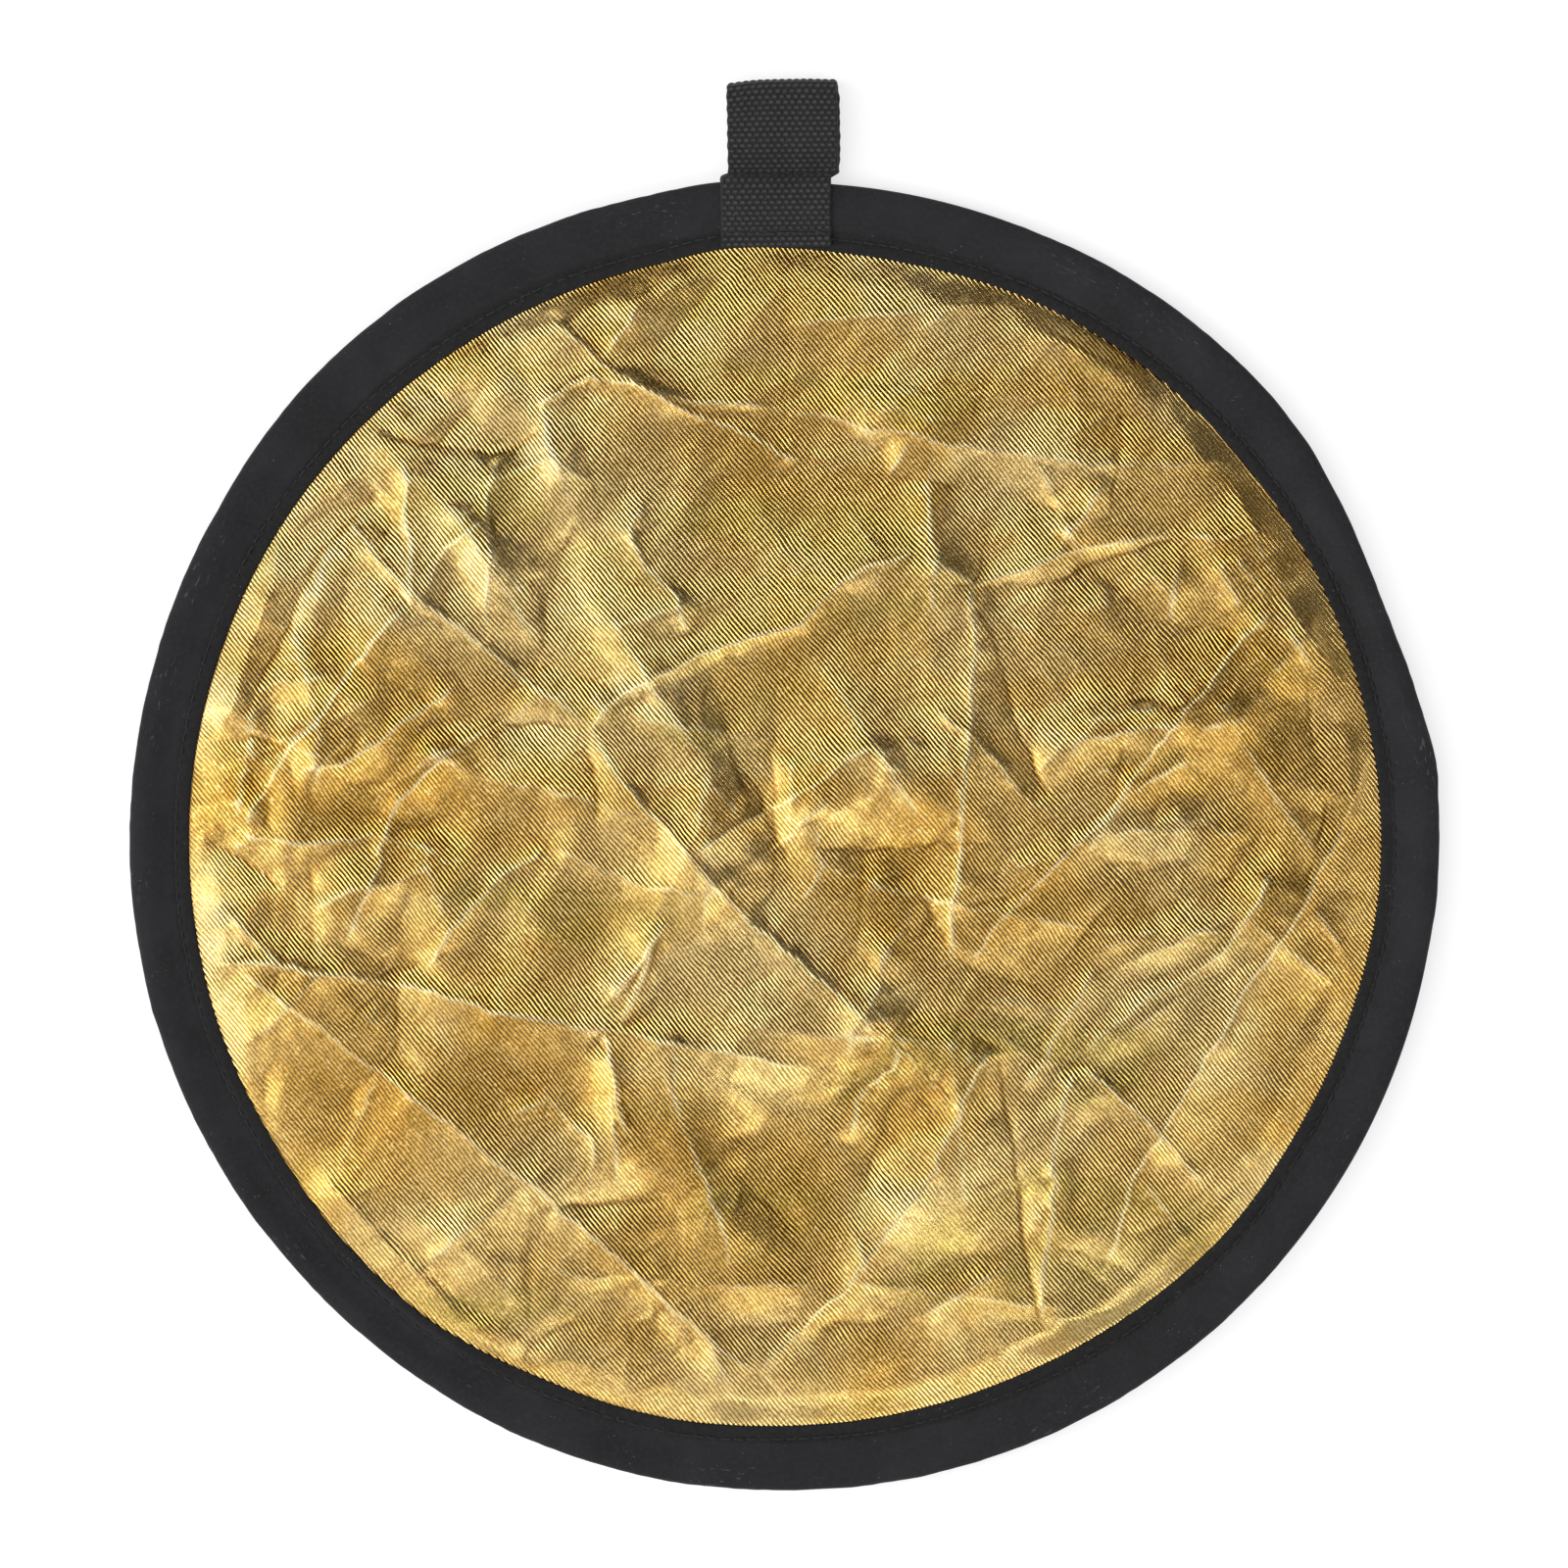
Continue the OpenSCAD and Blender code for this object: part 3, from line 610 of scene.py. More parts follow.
def binding_piece(name, a0, a1, mats, cap):
    n = max(4, int(round((a1 - a0) / 0.24)))
    deg = np.linspace(a0, a1, n + 1)
    p = binding_points(deg)
    before, after = binding_points(deg - 0.06), binding_points(deg + 0.06)
    du = after - before
    dv = np.roll(p, -1, 1) - np.roll(p, 1, 1)
    nrm = np.cross(dv, du)
    nrm /= np.maximum(np.linalg.norm(nrm, axis=2), 1e-9)[..., None]
    m = p.shape[1]
    i, j = np.meshgrid(np.arange(n), np.arange(m), indexing="ij")
    j2 = (j + 1) % m
    quads = np.stack([i * m + j, i * m + j2, (i + 1) * m + j2, (i + 1) * m + j], -1).reshape(-1, 4)
    # outwards: at the outside edge (section point 0) the normal points away from the middle
    out = p[0, 0, :2] / np.linalg.norm(p[0, 0, :2])
    if nrm[0, 0, :2] @ out < 0:
        nrm = -nrm
    v = p.reshape(-1, 3)
    q = quads[0]
    fn = np.cross(v[q[1]] - v[q[0]], v[q[2]] - v[q[1]])
    if fn[:2] @ out < 0:
        quads = quads[:, ::-1]
        flip = True
    else:
        flip = False
    # each cut end is closed between the front half of the section and the back half
    h = (m + 2) // 2
    caps = []
    for ring in (0, n):
        base = ring * m
        f = base + np.arange(h)
        b = base + np.concatenate([[0], m - np.arange(1, h)])
        b[h - 1] = f[h - 1]
        c = np.stack([f[:-1], f[1:], b[1:], b[:-1]], -1)
        if (ring == 0) != flip:
            c = c[:, ::-1]
        caps.append(c)
    caps = np.concatenate(caps)
    a, b_, c_, d_ = caps.T
    tri = np.concatenate([np.stack([a, b_, c_], -1), np.stack([a, c_, d_], -1)])
    bad = (tri[:, 0] == tri[:, 1]) | (tri[:, 1] == tri[:, 2]) | (tri[:, 0] == tri[:, 2])
    tri = tri[~bad]
    # the pocket that the spring band lies in, a closed hollow inside
    ro = r_outer(deg)[:, None]
    pr = np.array([-0.47, -0.62, -1.5, -2.4, -2.6, -2.6, -2.4, -1.5, -0.62, -0.47])[None, :]
    pz = np.array([1.9, 2.1, 2.12, 2.1, 1.9, -1.9, -2.1, -2.12, -2.1, -1.9])[None, :]
    a = np.radians(deg)[:, None]
    pk = np.stack([(ro + pr) * np.cos(a), (ro + pr) * np.sin(a), pz + 0 * ro], -1)
    pk[0], pk[-1] = pk[0] * 0.98 + pk[1] * 0.02, pk[-1] * 0.98 + pk[-2] * 0.02
    k = pk.shape[1]
    i, j = np.meshgrid(np.arange(n), np.arange(k), indexing="ij")
    j2 = (j + 1) % k
    pq = np.stack([i * k + j, i * k + j2, (i + 1) * k + j2, (i + 1) * k + j], -1).reshape(-1, 4)
    f = np.arange(1, k - 1)
    pt = np.concatenate([np.stack([0 * f, f + 1, f], -1), np.stack([0 * f, f, f + 1], -1) + n * k])
    pv = pk.reshape(-1, 3)
    mid = pk.mean(1)
    q = pq[0]
    fn = np.cross(pv[q[1]] - pv[q[0]], pv[q[2]] - pv[q[1]])
    if fn @ (pv[q].mean(0) - mid[:2].mean(0)) > 0:  # a hollow's faces look inwards
        pq, pt = pq[:, ::-1], pt[:, ::-1]
    inward = (mid[:, None] - pk).reshape(-1, 3)
    inward /= np.linalg.norm(inward, axis=1)[:, None]
    base = len(v)
    return make(name, np.concatenate([v, pv]), [quads, tri, pq + base, pt + base], mats, np.concatenate([nrm.reshape(-1, 3), inward]))


def tubes(name, lines, radius, mats, sides=7):
    """Round threads along lines of points, each with closed ends, as one mesh."""
    verts, faces, tri, at = [], [], [], 0
    for line in lines:
        line = np.asarray(line, float)
        t = np.gradient(line, axis=0)
        t /= np.linalg.norm(t, axis=1)[:, None]
        up = np.array([0.0, 0.0, 1.0])
        s = np.cross(t, up)
        s /= np.linalg.norm(s, axis=1)[:, None]
        w = np.cross(s, t)
        k = len(line)
        a = np.linspace(0, TAU, sides, endpoint=False)
        taper = np.ones(k)
        taper[0] = taper[-1] = 0.55
        ring = line[:, None] + radius * taper[:, None, None] * (s[:, None] * np.cos(a)[None, :, None] + w[:, None] * np.sin(a)[None, :, None])
        verts.append(ring.reshape(-1, 3))
        i, j = np.meshgrid(np.arange(k - 1), np.arange(sides), indexing="ij")
        j2 = (j + 1) % sides
        faces.append(np.stack([i * sides + j, i * sides + j2, (i + 1) * sides + j2, (i + 1) * sides + j], -1).reshape(-1, 4) + at)
        f = np.arange(1, sides - 1)
        tri.append(np.stack([0 * f, f + 1, f], -1) + at)
        tri.append(np.stack([0 * f, f, f + 1], -1) + at + (k - 1) * sides)
        at += k * sides
    v = np.concatenate(verts)
    q = np.concatenate(faces)
    # side faces outwards
    c = np.asarray(lines[0], float).mean(0)
    f0 = q[len(q) // len(lines) // 2]
    fn = np.cross(v[f0[1]] - v[f0[0]], v[f0[2]] - v[f0[1]])
    k = len(lines[0])
    mid = np.asarray(lines[0], float)[min(k - 1, (len(q) // len(lines) // 2) // sides)]
    if fn @ (v[f0].mean(0) - mid) < 0:
        q = q[:, ::-1]
    tri = np.concatenate(tri)
    return make(name, v, [q, tri], mats)


def seam_stitches(a0, a1):
    """Thread lines of the lockstitch between two angles, front and back."""
    lines = []
    pitch = 360 / STITCHES
    k0, k1 = math.ceil(a0 / pitch - 0.5 - 1e-6), math.ceil(a1 / pitch - 0.5 - 1e-6)
    for k in range(k0, k1):
        c = (k + 0.5) * pitch
        for side in (1, -1):
            t = np.linspace(-0.43, 0.43, 7)
            deg = c + t * pitch
            s = r_lip(deg) + SEAM_IN + 0.10 * math.sin(k * 12.9898 + side) * (1 + 0 * t) + 0.06 * t
            z = 1.02 - 0.42 * np.abs(t / 0.43) ** 4
            lines.append(place(s, deg, side * z))
    return lines


# ---------------------------------------------------------------- the hang strap
WEB_W, WEB_T = 25.3, 1.2
FRONT = [
    (134.9, 1.66), (136.6, 1.72), (138.6, 1.70), (140.6, 1.95), (143.0, 2.62), (145.6, 3.16), (147.8, 3.30), (149.5, 3.12),
    (150.6, 2.35), (151.2, 1.30), (151.9, 0.72), (153.0, 0.66), (154.3, 0.86), (156.4, 1.62), (159.6, 2.62), (163.5, 3.0),
    (168.0, 3.0), (170.6, 2.55), (172.2, 1.5), (172.8, 0.0),
]


def spline(points, step):
    """A smooth line through the points, sampled about every step mm."""
    p = np.asarray(points, float)
    q = np.concatenate([[2 * p[0] - p[1]], p, [2 * p[-1] - p[-2]]])
    out = []
    for k in range(1, len(q) - 2):
        t = np.linspace(0, 1, 40, endpoint=False)[:, None]
        a, b, c, d = q[k - 1], q[k], q[k + 1], q[k + 2]
        out.append(0.5 * (2 * b + (c - a) * t + (2 * a - 5 * b + 4 * c - d) * t**2 + (3 * b - a - 3 * c + d) * t**3))
    line = np.concatenate(out + [p[-1:]])
    at = np.concatenate([[0], np.cumsum(np.linalg.norm(np.diff(line, axis=0), axis=1))])
    n = int(round(at[-1] / step))
    s = np.linspace(0, at[-1], n + 1)
    return np.stack([np.interp(s, at, line[:, k]) for k in range(line.shape[1])], -1), s


def strap_line():
    """The webbing's middle line (y out from the centre, z), its outward normal and its drift to the right."""
    ctrl = FRONT + [(y, -z) for y, z in FRONT[-2::-1]]
    line, s = spline(ctrl, 0.16)
    t = np.gradient(line, axis=0)
    k = 9
    w = np.hanning(2 * k + 1)
    w /= w.sum()
    t = np.stack([np.convolve(np.concatenate([np.repeat(t[:1, c], k), t[:, c], np.repeat(t[-1:, c], k)]), w, "valid") for c in range(2)], -1)
    t /= np.linalg.norm(t, axis=1)[:, None]
    nrm = np.stack([-t[:, 1], t[:, 0]], -1)
    if nrm[5, 1] < 0:
        nrm = -nrm
    y, half = line[:, 0], s / s[-1]
    drift = -0.3 + 1.75 * smooth(150.95, 152.1, y) + 0.55 * smooth(0.5, 0.56, half) * smooth(148, 158, y) - 0.2 * smooth(165, 173, y) * (1 - smooth(0.44, 0.5, half))
    return line, s, nrm, drift


def strap_mesh(name, mats):
    """The webbing as one strip: front leaf, round the loop, back leaf, with its weave."""
    line, s, nrm, drift = strap_line()
    total = s[-1]
    y, z = line[:, 0], line[:, 1]
    # across the strip: face, edge, face, edge
    hw, ht = WEB_W / 2, WEB_T / 2
    flat = hw - 0.55
    nu = 152
    u1 = np.linspace(-flat, flat, nu)
    ang = np.linspace(math.pi / 2, -math.pi / 2, 9)[1:-1]
    uu = np.concatenate([u1, flat + 0.55 * np.cos(ang), u1[::-1], -flat - 0.55 * np.cos(ang)])
    tt = np.concatenate([np.full(nu, ht), ht * np.sin(ang), np.full(nu, -ht), -ht * np.sin(ang)])
    face = np.sign(np.round(tt / ht, 6))
    on_face = np.clip(np.abs(tt) / ht, 0, 1) ** 3
    S, U = s[:, None], uu[None, :]
    # basket weave: bumps in rows, every other row shifted by half a bump
    pu, pv = 1.66, 1.21
    wob = 0.10 * vnoise(U / 3.1, S / 2.3, 301) + 0 * S
    row = np.floor(S / pv)
    fv = S / pv - row
    shift = 0.5 * (row % 2)
    cu = (U + wob) / pu + shift
    fu = cu - np.floor(cu)
    lump = np.clip(np.sin(math.pi * fu), 0, 1) ** 0.6 * np.clip(np.sin(math.pi * fv), 0, 1) ** 0.6
    size = 0.95 + 0.07 * hash2(np.floor(cu).astype(np.int64) + 0 * row.astype(np.int64), row.astype(np.int64) + 0 * cu.astype(np.int64), 302)
    back = np.where(tt[None, :] < 0, 0.5 * pu, 0)
    lump2 = np.sqrt(np.abs(np.sin(math.pi * ((U + wob + back) / pu + shift)))) * np.sqrt(np.abs(np.sin(math.pi * fv)))
    level = np.where(tt[None, :] >= 0, lump * size, lump2 * 0.85)
    bump = 0.34 * (level - 0.55)
    # the two sewn rows press the webbing down
    press = np.zeros_like(s)
    for centre, wide_ in ((138.35, 0.9), (151.15, 0.55)):
        press = press + np.exp(-(((y - centre) / wide_) ** 2))
    bump = bump * (1 - 0.75 * np.clip(press, 0, 1)[:, None]) - 0.16 * np.clip(press, 0, 1)[:, None]
    soft = 0.10 * vnoise(U / 7.0 + 0 * S, S / 9.0 + 0 * U, 303)
    thick = tt[None, :] + np.sign(tt)[None, :] * on_face[None, :] * bump
    # ends of the webbing: melted a little thinner
    endf = np.minimum(s, total - s)
    thin = 0.62 + 0.38 * smooth(0, 0.7, endf)
    thick = thick * thin[:, None]
    wide = 1 + 0.006 * np.sin(s * 2.1)[:, None] + 0.004 * vnoise(S / 1.3, 0 * S + 5, 304)
    x = U * wide + drift[:, None] + 0 * thick
    yy = y[:, None] + nrm[:, 0:1] * (thick + soft)
    zz = z[:, None] + nrm[:, 1:2] * (thick + soft)
    # the loop's fold is not quite square: lower at its left corner
    yy = yy - 1.15 * smooth(158, 173, yy) * smooth(-0.1, 1.15, -x / hw) ** 2 - 0.25 * smooth(160, 173, yy) * smooth(0.3, 1.2, x / hw)
    a = math.radians(STRAP)
    er, right = np.array([math.cos(a), math.sin(a)]), np.array([math.sin(a), -math.cos(a)])
    px = yy * er[0] + x * right[0]
    py = yy * er[1] + x * right[1]
    p = np.stack([px, py, zz], -1)
    m, n = p.shape[1], p.shape[0]
    i, j = np.meshgrid(np.arange(n - 1), np.arange(m), indexing="ij")
    j2 = (j + 1) % m
    quads = np.stack([i * m + j, i * m + j2, (i + 1) * m + j2, (i + 1) * m + j], -1).reshape(-1, 4)
    v = p.reshape(-1, 3)
    q = quads[nu // 2]
    fn = np.cross(v[q[1]] - v[q[0]], v[q[2]] - v[q[1]])
    if fn[2] < 0:
        quads = quads[:, ::-1]
        flip = True
    else:
        flip = False
    caps = []
    for ring in (0, n - 1):
        b = ring * m
        f = b + np.arange(nu)
        g = b + (2 * nu + len(ang) - 1 - np.arange(nu))
        c = np.stack([f[:-1], f[1:], g[1:], g[:-1]], -1)
        e1 = b + np.arange(nu - 1, nu + len(ang) + 1)
        e2 = b + np.concatenate([np.arange(2 * nu + len(ang) - 1, m), [0]])
        for e in (e1, e2):
            h = len(e) // 2
            lo, hi = e[:h], e[::-1][:h]
            c = np.concatenate([c, np.stack([lo[:-1], lo[1:], hi[1:], hi[:-1]], -1)])
        if (ring == 0) != flip:
            c = c[:, ::-1]
        caps.append(c)
    caps = np.concatenate(caps)
    a_, b_, c_, d_ = caps.T
    tri = np.concatenate([np.stack([a_, b_, c_], -1), np.stack([a_, c_, d_], -1)])
    bad = (tri[:, 0] == tri[:, 1]) | (tri[:, 1] == tri[:, 2]) | (tri[:, 0] == tri[:, 2])
    o = make(name, v, [quads, tri[~bad]], mats)
    # the weave height is also written for the material, which paints the raised yarn tops lighter as a painted
    # highlight
    att = o.data.attributes.new("weave", "FLOAT", "POINT")
    att.data.foreach_set("value", (level * on_face[None, :] + 0 * S).astype(np.float32).ravel())
    return o, total


STRAP_ROWS = [(137.95, 10, 0.0), (138.75, 10, 0.25), (151.15, 9, 0.0)]


def strap_stitch_lines():
    a = math.radians(STRAP)
    er, right = np.array([math.cos(a), math.sin(a)]), np.array([math.sin(a), -math.cos(a)])
    line, s, nrm, drift = strap_line()
    half = len(line) // 2
    lines = []
    for y0, n, off in STRAP_ROWS:
        k = int(np.argmin(np.abs(line[:half, 0] - y0)))
        pitch = 23.0 / n
        for side in (1, -1):
            for i in range(n):
                t = np.linspace(-0.42, 0.42, 7)
                x = -11.5 + pitch * (i + 0.5 + off) + t * pitch
                if x[-1] > 12.0:
                    continue
                lift = 0.60 - 0.34 * np.abs(t / 0.42) ** 4
                yy = line[k, 0] + nrm[k, 0] * lift + 0.12 * math.sin(i * 7.7 + y0)
                z = side * (line[k, 1] + nrm[k, 1] * lift)
                x = x + drift[k]
                lines.append(np.stack([yy * er[0] + x * right[0], yy * er[1] + x * right[1], z], -1))
    return lines


# ---------------------------------------------------------------- materials
class Mat:
    """A short way to write a node tree."""

    def __init__(self, name):
        self.m = bpy.data.materials.new(name)
        self.m.use_nodes = True
        self.t = self.m.node_tree
        self.t.nodes.clear()
        self.out = self.t.nodes.new("ShaderNodeOutputMaterial")
        self.b = self.t.nodes.new("ShaderNodeBsdfPrincipled")
        self.t.links.new(self.b.outputs[0], self.out.inputs["Surface"])
        self.obj = self.t.nodes.new("ShaderNodeTexCoord").outputs["Object"]
        s = self.t.nodes.new("ShaderNodeSeparateXYZ")
        self.t.links.new(self.obj, s.inputs[0])
        self.x, self.y, self.z = s.outputs

    def put(self, sock, v):
        if isinstance(v, (int, float)):
            sock.default_value = v
        elif isinstance(v, tuple):
            sock.default_value = v if len(v) == len(sock.default_value) else (*v, 1.0)
        else:
            self.t.links.new(v, sock)

    def math(self, op, a, b=0.0, c=0.0, clamp=False):
        n = self.t.nodes.new("ShaderNodeMath")
        n.operation, n.use_clamp = op, clamp
        for i, v in enumerate((a, b, c)):
            self.put(n.inputs[i], v)
        return n.outputs[0]

    def add(self, a, b): return self.math("ADD", a, b)
    def sub(self, a, b): return self.math("SUBTRACT", a, b)
    def mul(self, a, b): return self.math("MULTIPLY", a, b)
    def sin(self, a): return self.math("SINE", a)

    def vec(self, x, y, z):
        n = self.t.nodes.new("ShaderNodeCombineXYZ")
        for i, v in enumerate((x, y, z)):
            self.put(n.inputs[i], v)
        return n.outputs[0]

    def scaled(self, v, s, turn=0.0):
        n = self.t.nodes.new("ShaderNodeMapping")
        self.put(n.inputs["Vector"], v)
        n.inputs["Scale"].default_value = s if isinstance(s, tuple) else (s, s, s)
        n.inputs["Rotation"].default_value = (0, 0, turn)
        return n.outputs[0]

    def noise(self, v, scale=1.0, detail=2.0, rough=0.5, distort=0.0, color=False):
        n = self.t.nodes.new("ShaderNodeTexNoise")
        self.put(n.inputs["Vector"], v)
        n.inputs["Scale"].default_value = scale
        n.inputs["Detail"].default_value = detail
        n.inputs["Roughness"].default_value = rough
        n.inputs["Distortion"].default_value = distort
        return n.outputs["Color" if color else "Fac"]

    def cells(self, v, scale, feature="F1", rand=1.0, out="Color"):
        n = self.t.nodes.new("ShaderNodeTexVoronoi")
        n.feature = feature
        self.put(n.inputs["Vector"], v)
        n.inputs["Scale"].default_value = scale
        n.inputs["Randomness"].default_value = rand
        return n.outputs[out]

    def white(self, v):
        n = self.t.nodes.new("ShaderNodeTexWhiteNoise")
        self.put(n.inputs["Vector"], v)
        return n.outputs["Value"]

    def ramp(self, f, stops, interp="LINEAR"):
        n = self.t.nodes.new("ShaderNodeValToRGB")
        self.put(n.inputs[0], f)
        n.color_ramp.interpolation = interp
        e = n.color_ramp.elements
        while len(e) < len(stops):
            e.new(1.0)
        for el, (p, c) in zip(e, stops):
            el.position = p
            el.color = (*c, 1.0) if isinstance(c, tuple) else (c, c, c, 1.0)
        return n.outputs[0]

    def span(self, f, a, b, lo=0.0, hi=1.0, smooth_=True):
        n = self.t.nodes.new("ShaderNodeMapRange")
        n.interpolation_type = "SMOOTHSTEP" if smooth_ else "LINEAR"
        for i, v in enumerate((f, a, b, lo, hi)):
            self.put(n.inputs[i], v)
        return n.outputs[0]

    def mix(self, f, a, b, how="MIX"):
        n = self.t.nodes.new("ShaderNodeMix")
        n.data_type, n.blend_type = "RGBA", how
        self.put(n.inputs[0], f)
        self.put(n.inputs[6], a)
        self.put(n.inputs[7], b)
        return n.outputs[2]

    def bump(self, height, distance, strength=1.0, normal=None):
        n = self.t.nodes.new("ShaderNodeBump")
        self.put(n.inputs["Height"], height)
        n.inputs["Distance"].default_value = distance
        n.inputs["Strength"].default_value = strength
        if normal is not None:
            self.put(n.inputs["Normal"], normal)
        return n.outputs[0]

    def polar(self):
        """Radius and angle (radians) round the hoop's centre."""
        r = self.math("SQRT", self.add(self.mul(self.x, self.x), self.mul(self.y, self.y)))
        return r, self.math("ARCTAN2", self.y, self.x)

    def set(self, **kw):
        names = {"color": "Base Color", "metal": "Metallic", "rough": "Roughness", "normal": "Normal", "sheen": "Sheen Weight",
                 "sheen_rough": "Sheen Roughness", "sheen_tint": "Sheen Tint", "spec": "Specular IOR Level", "tint": "Specular Tint",
                 "coat": "Coat Weight", "coat_rough": "Coat Roughness", "aniso": "Anisotropic"}
        for k, v in kw.items():
            self.put(self.b.inputs[names[k]], v)
        return self.m


def lame(name, hi, mid, low, olive, dark, crest_highlight_and_rub, turn, ribs):
    """Metallised cloth: fine slanting ribs, sparkling grain with painted glints, patches a little duller and darker,
    olive patches of painted reflection tint, and a painted highlight on the crease ridges with painted shade in the
    valleys.
    """
    m = Mat(name)
    v = m.obj
    a = math.radians(turn)
    # distance across the ribs, wandering a little
    across = m.add(m.mul(m.x, math.sin(a)), m.mul(m.y, math.cos(a)))
    wob = m.mul(m.sub(m.noise(m.scaled(v, 60.0), 1.0, 3.0, 0.55), 0.5), 0.0022)
    k = TAU / ribs
    phase = m.mul(m.add(across, wob), k)
    rib = m.add(m.mul(m.sin(phase), 0.5), 0.5)
    strength = m.span(m.noise(m.scaled(v, 42.0), 1.0, 3.0, 0.6), 0.34, 0.62, 0.62, 1.0)
    # the threads that cross the ribs
    u1 = m.mul(m.add(m.mul(m.x, math.cos(a)), m.mul(m.y, -math.sin(a))), TAU / (ribs * 0.62))
    weave = m.add(m.mul(m.sin(u1), 0.25), m.mul(m.sin(m.mul(phase, 2.0)), 0.25))
    grain = m.noise(m.scaled(v, (1700.0, 1700.0, 1700.0)), 1.0, 2.0, 0.7)
    sp = m.cells(v, 1650.0)
    sep = m.t.nodes.new("ShaderNodeSeparateColor")
    m.t.links.new(sp, sep.inputs[0])
    spark, spark2 = sep.outputs[0], sep.outputs[1]
    patch = m.noise(m.scaled(v, (16.0, 22.0, 16.0), 0.6), 1.0, 4.0, 0.58, 0.6)
    patch2 = m.noise(m.scaled(v, (12.0, 30.0, 12.0), 1.1), 1.0, 4.0, 0.6, 0.8)
    c = m.ramp(patch, [(0.32, low), (0.46, mid), (0.60, hi)])
    # olive patches: a painted greenish reflection tint
    c = m.mix(m.span(patch2, 0.54, 0.68, 0.0, 0.55), c, olive)
    gaps = m.mul(m.span(rib, 0.45, 0.05), strength)
    c = m.mix(m.mul(gaps, 0.80), c, dark)
    # painted sparkle: some grain cells darkened as facets that catch no light, others lifted to the pale colour as
    # painted glints
    c = m.mix(m.span(spark, 0.60, 0.97, 0.0, 0.30), c, dark)
    c = m.mix(m.span(spark2, 0.86, 0.98, 0.0, 0.5), c, hi)
    c = m.mix(m.span(grain, 0.30, 0.60, 0.24, 0.0), c, dark)
    # painted highlight on the crease ridges (towards the pale colour) and painted shade in the valleys (towards dark),
    # from the crest attribute
    fold = m.t.nodes.new("ShaderNodeAttribute")
    fold.attribute_name = "crest"
    top = m.span(fold.outputs["Fac"], 0.10, 1.0, 0.0, 0.42)
    c = m.mix(m.span(fold.outputs["Fac"], -0.10, -1.0, 0.0, 0.55), c, dark)
    c = m.mix(top, c, crest_highlight_and_rub)
    rough = m.add(m.add(m.add(0.15, m.mul(top, 0.16)), m.mul(m.sub(grain, 0.5), 0.10)), m.mul(m.noise(m.scaled(v, 26.0), 1.0, 3.0), 0.10))
    b1 = m.bump(m.mul(rib, strength), 0.00008, 1.0)
    b2 = m.bump(m.add(m.mul(weave, 0.5), m.mul(grain, 1.0)), 0.00003, 1.0, b1)
    b3 = m.bump(spark, 0.00003, 0.9, b2)
    return m.set(color=c, metal=1.0, rough=rough, normal=b3, spec=0.5)


# the sixth colour of each cloth is the painted highlight colour for the crease ridges
gold = lame("gold_lame", (1.0, 0.73, 0.30), (0.93, 0.60, 0.185), (0.72, 0.42, 0.09), (0.66, 0.53, 0.13), (0.20, 0.09, 0.010), (1.0, 0.86, 0.50), 50.0, 0.00086)
silver = lame("silver_lame", (0.95, 0.955, 0.96), (0.86, 0.865, 0.88), (0.60, 0.61, 0.64), (0.74, 0.75, 0.74), (0.20, 0.20, 0.215), (1.0, 1.0, 1.0), -50.0, 0.00086)


def binding_cloth():
    m = Mat("binding_cloth")
    v = m.obj
    r, a = m.polar()
    arc = m.mul(a, 0.145)
    # plain weave, its threads along and across the tape
    w1, w2 = m.sin(m.mul(arc, TAU / 0.00046)), m.sin(m.mul(r, TAU / 0.00046))
    weave = m.mul(w1, w2)
    tone = m.noise(m.scaled(v, 60.0), 1.0, 3.0, 0.6)
    fuzz = m.noise(m.scaled(v, 900.0), 1.0, 3.0, 0.7)
    # inside the seam the tape lies doubled and flat; there its colour is mixed towards a darker brown, as painted shade
    # on the lower flat edge and a painted brown reflection of the gold cloth
    n = m.noise(m.scaled(v, 220.0), 1.0, 2.0)
    inner = m.sub(1.0, m.span(m.add(r, m.mul(m.sub(n, 0.5), 0.0006)), 0.1385, 0.1395))
    c = m.ramp(tone, [(0.28, (0.0105, 0.0108, 0.0122)), (0.5, (0.0150, 0.0153, 0.0172)), (0.74, (0.0215, 0.0220, 0.0245))])
    c = m.mix(m.mul(inner, 0.7), c, (0.0085, 0.0066, 0.0060))
    # lint and the light dashes where the band rubs through near the outside edge
    dash_v = m.vec(m.mul(a, 60.0), m.mul(r, 1500.0), m.mul(m.z, 300.0))
    dash = m.noise(dash_v, 1.0, 3.0, 0.62)
    zone = m.mul(m.span(r, 0.1425, 0.1465), m.sub(1.0, m.span(r, 0.1492, 0.1505)))
    crest_highlight_and_rub = m.span(m.noise(m.vec(m.mul(a, 5.0), m.mul(r, 40.0), 0.0), 1.0, 2.0), 0.50, 0.62)
    c = m.mix(m.mul(m.mul(m.mul(m.span(dash, 0.60, 0.70), zone), crest_highlight_and_rub), 0.55), c, (0.13, 0.135, 0.145))
    lint = m.cells(v, 900.0, out="Distance")
    pick = m.noise(m.scaled(v, 140.0), 1.0, 1.0)
    speck = m.mul(m.sub(1.0, m.span(lint, 0.05, 0.16)), m.span(pick, 0.60, 0.68))
    c = m.mix(m.mul(speck, 0.6), c, (0.26, 0.265, 0.28))
    c = m.mix(m.span(fuzz, 0.42, 0.66, 0.0, 0.28), c, (0.040, 0.041, 0.045))
    b = m.bump(m.add(m.mul(weave, 0.5), m.mul(fuzz, 0.7)), 0.00006, 0.9)
    b = m.bump(tone, 0.0003, 0.35, b)
    rough = m.add(0.62, m.mul(fuzz, 0.3))
    return m.set(color=c, rough=rough, normal=b, sheen=0.10, sheen_rough=0.35, sheen_tint=(0.75, 0.78, 0.85), spec=0.3)


